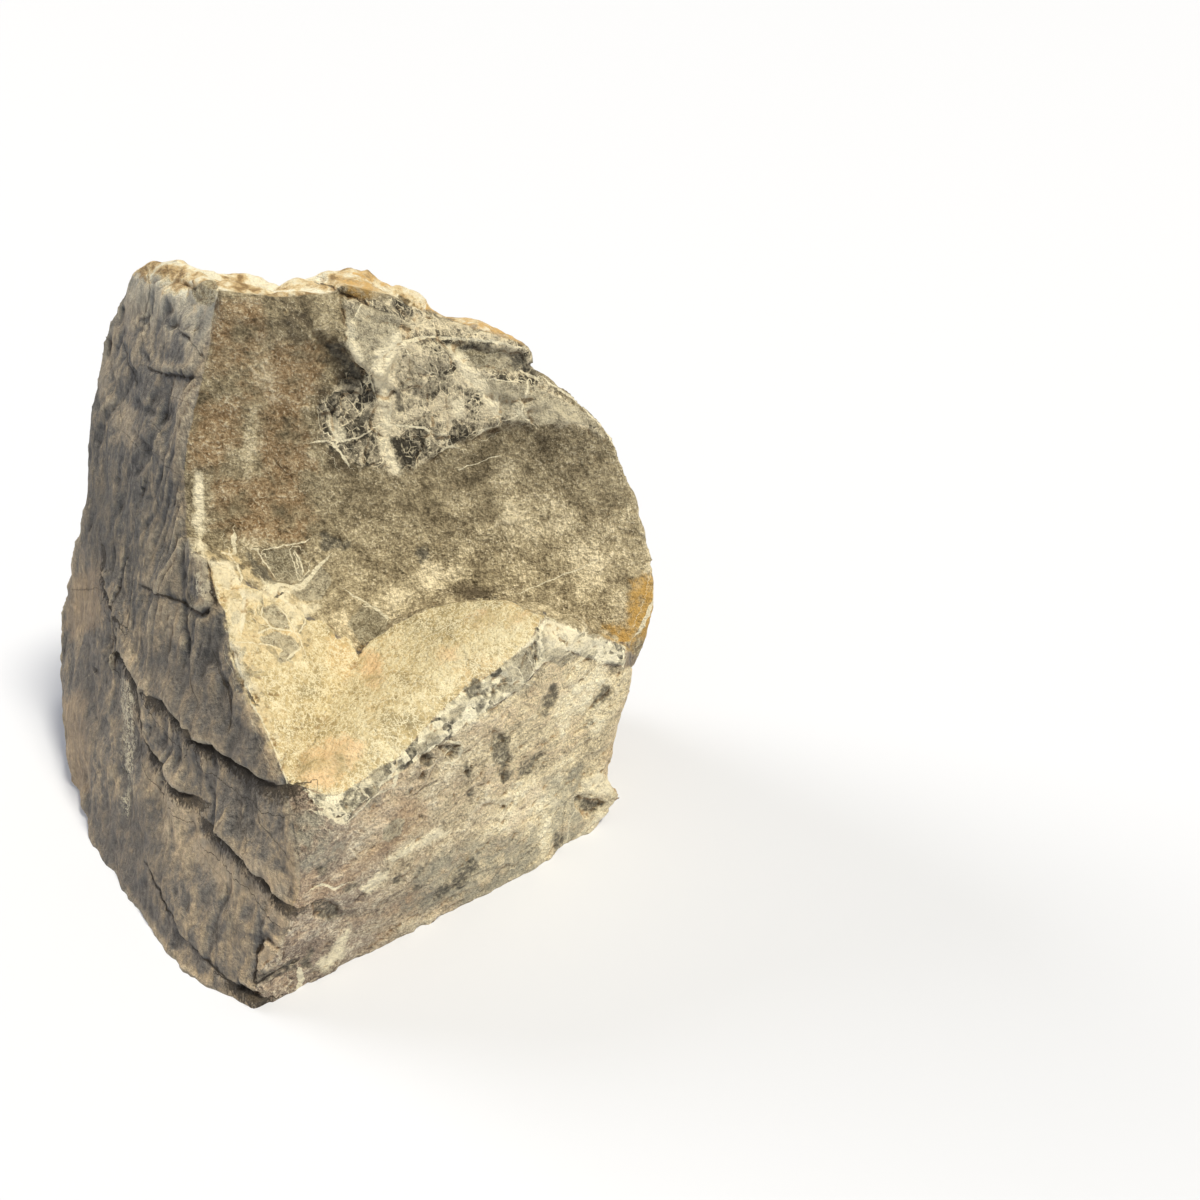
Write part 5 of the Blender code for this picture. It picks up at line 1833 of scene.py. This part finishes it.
def with_edge_wear_highlights_and_hollow_shade(s, colour):
    """Edges made pale, partly as wear and partly as a painted highlight, and painted shade in the hollows."""
    # Wear and painted highlight: edges that stand proud made paler, less on the sides out of view.
    worn = s.times(s.step(s.add(s.proud, s.swing(s.fine, 0.3)), 0.10, 0.40), s.add(s.times(s.hidden, -0.5), 1.0))
    colour = s.over(colour, WORN_EDGE_AND_HIGHLIGHT, worn, 0.35)
    # Painted shade: points below their near and broad surroundings darkened with a brown tint.
    hollow_shade = s.most(s.times(s.step(s.proud, -0.05, -0.30), 0.8), s.times(s.step(s.hill, -0.2, -1.4), 0.45))
    return s.mix(hollow_shade, colour, s.tinted(colour, HOLLOW_SHADE_TINT, 0.75))


def with_cracks(s, colour):
    """Dark cracks, and a painted shadow with a hairy lower edge that hangs below their lips."""
    lip_off = s.number("lip_off")
    hair = s.noise(0.7, 3.0, 0.7, s.stretched((1.0, 1.0, 0.3)))
    # Painted shadow below the lips of the deep cracks, its lower edge made hairy by noise.
    lip_shadow = s.times(s.step(s.add(lip_off, s.times(hair, 12.0)), 0.8, 3.8), s.step(lip_off, 0.6, 0.1))
    colour = s.over(colour, LIP_SHADOW, lip_shadow, s.step(s.number("lip_wide"), 0.02, 0.3), 0.9)
    return s.over(colour, CRACK_DARK, s.crack, 0.9)


def bumps(s):
    """The height in millimetres of what is too small for the mesh."""
    layered = s.add(
        s.swing(s.streak, 0.35), s.swing(s.wide_streak, 0.7), s.swing(s.medium, 1.2), s.times(s.layers, 0.35)
    )
    return s.add(
        s.swing(s.fine, 0.6),
        s.swing(s.grain, 0.2),
        s.times(s.most(s.left, s.hidden), s.add(s.swing(s.strand, 0.5), s.swing(s.drape, 1.2))),
        s.times(s.hidden, s.add(s.swing(s.medium, 1.6), s.times(s.pocks, -0.5))),
        s.times(s.wall, s.swing(s.medium, 0.9)),
        s.times(s.front, layered),
        s.times(s.dark, -0.4),
        s.times(s.crack, -0.8),
    )


def limestone():
    s = Limestone()
    s.put(s.surface.inputs["Base Color"], with_cracks(s, with_edge_wear_highlights_and_hollow_shade(s, with_veins_and_edge_highlights(s, surfaces(s)))))
    s.put(s.surface.inputs["Roughness"], s.add(s.times(s.grain, 0.3), 0.62))
    s.surface.inputs["Specular IOR Level"].default_value = 0.35
    bump = s.node("ShaderNodeBump")
    bump.inputs["Strength"].default_value = 1.0
    bump.inputs["Distance"].default_value = MM
    s.put(bump.inputs["Height"], bumps(s))
    s.put(s.surface.inputs["Normal"], bump.outputs["Normal"])
    return s.material


# ---------------------------------------------------------------------------------------------------------------
# Floor, light and camera
# ---------------------------------------------------------------------------------------------------------------

FLOOR_HALF_M = 8.0
FLOOR_COLOUR = (0.735, 0.765, 0.865, 1.0)
SKY_COLOUR = (0.92, 0.96, 1.0, 1.0)
SKY_STRENGTH = 0.26

# Suns: name, direction, strength, how wide they are in degrees, and colour.
SUNS = (
    ("key", (0.42, -0.24, 0.875), 3.4, 14.0, (1.0, 0.93, 0.76)),
    ("fill", (-0.80, 0.40, 0.45), 1.35, 30.0, (1.0, 0.97, 0.92)),
)


def camera():
    data = bpy.data.cameras.new("picture")
    data.lens = LENS
    data.sensor_width = SENSOR
    data.clip_start = 0.01
    obj = new_object("picture", data)
    obj.location = EYE * MM
    obj.rotation_euler = (math.pi / 2 - CAMERA_PITCH, 0.0, 0.0)
    bpy.context.scene.camera = obj


def sun(name, direction, strength, angle, colour):
    data = bpy.data.lights.new(name, "SUN")
    data.energy = strength
    data.angle = math.radians(angle)
    data.color = colour
    obj = new_object(name, data)
    obj.location = Vector(direction)
    obj.rotation_euler = Vector(direction).to_track_quat("Z", "Y").to_euler()


def floor():
    mesh = bpy.data.meshes.new("floor")
    corners = [(x * FLOOR_HALF_M, y * FLOOR_HALF_M, 0.0) for x, y in ((-1, -1), (1, -1), (1, 1), (-1, 1))]
    mesh.from_pydata(corners, [], [(0, 1, 2, 3)])
    obj = new_object("floor", mesh)
    material = bpy.data.materials.new("pale_floor")
    material.use_nodes = True
    shader = material.node_tree.nodes["Principled BSDF"]
    shader.inputs["Base Color"].default_value = FLOOR_COLOUR
    shader.inputs["Roughness"].default_value = 0.9
    mesh.materials.append(material)


def studio():
    scene = bpy.context.scene
    scene.view_settings.view_transform = "Standard"
    scene.world = bpy.data.worlds.new("studio")
    scene.world.use_nodes = True
    back = scene.world.node_tree.nodes["Background"]
    back.inputs["Color"].default_value = SKY_COLOUR
    back.inputs["Strength"].default_value = SKY_STRENGTH
    for settings in SUNS:
        sun(*settings)


stone = finished_stone()
paint(stone)
stone.data.materials.clear()
stone.data.materials.append(limestone())
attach(stone, "root")
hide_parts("stone")
floor()
studio()
camera()
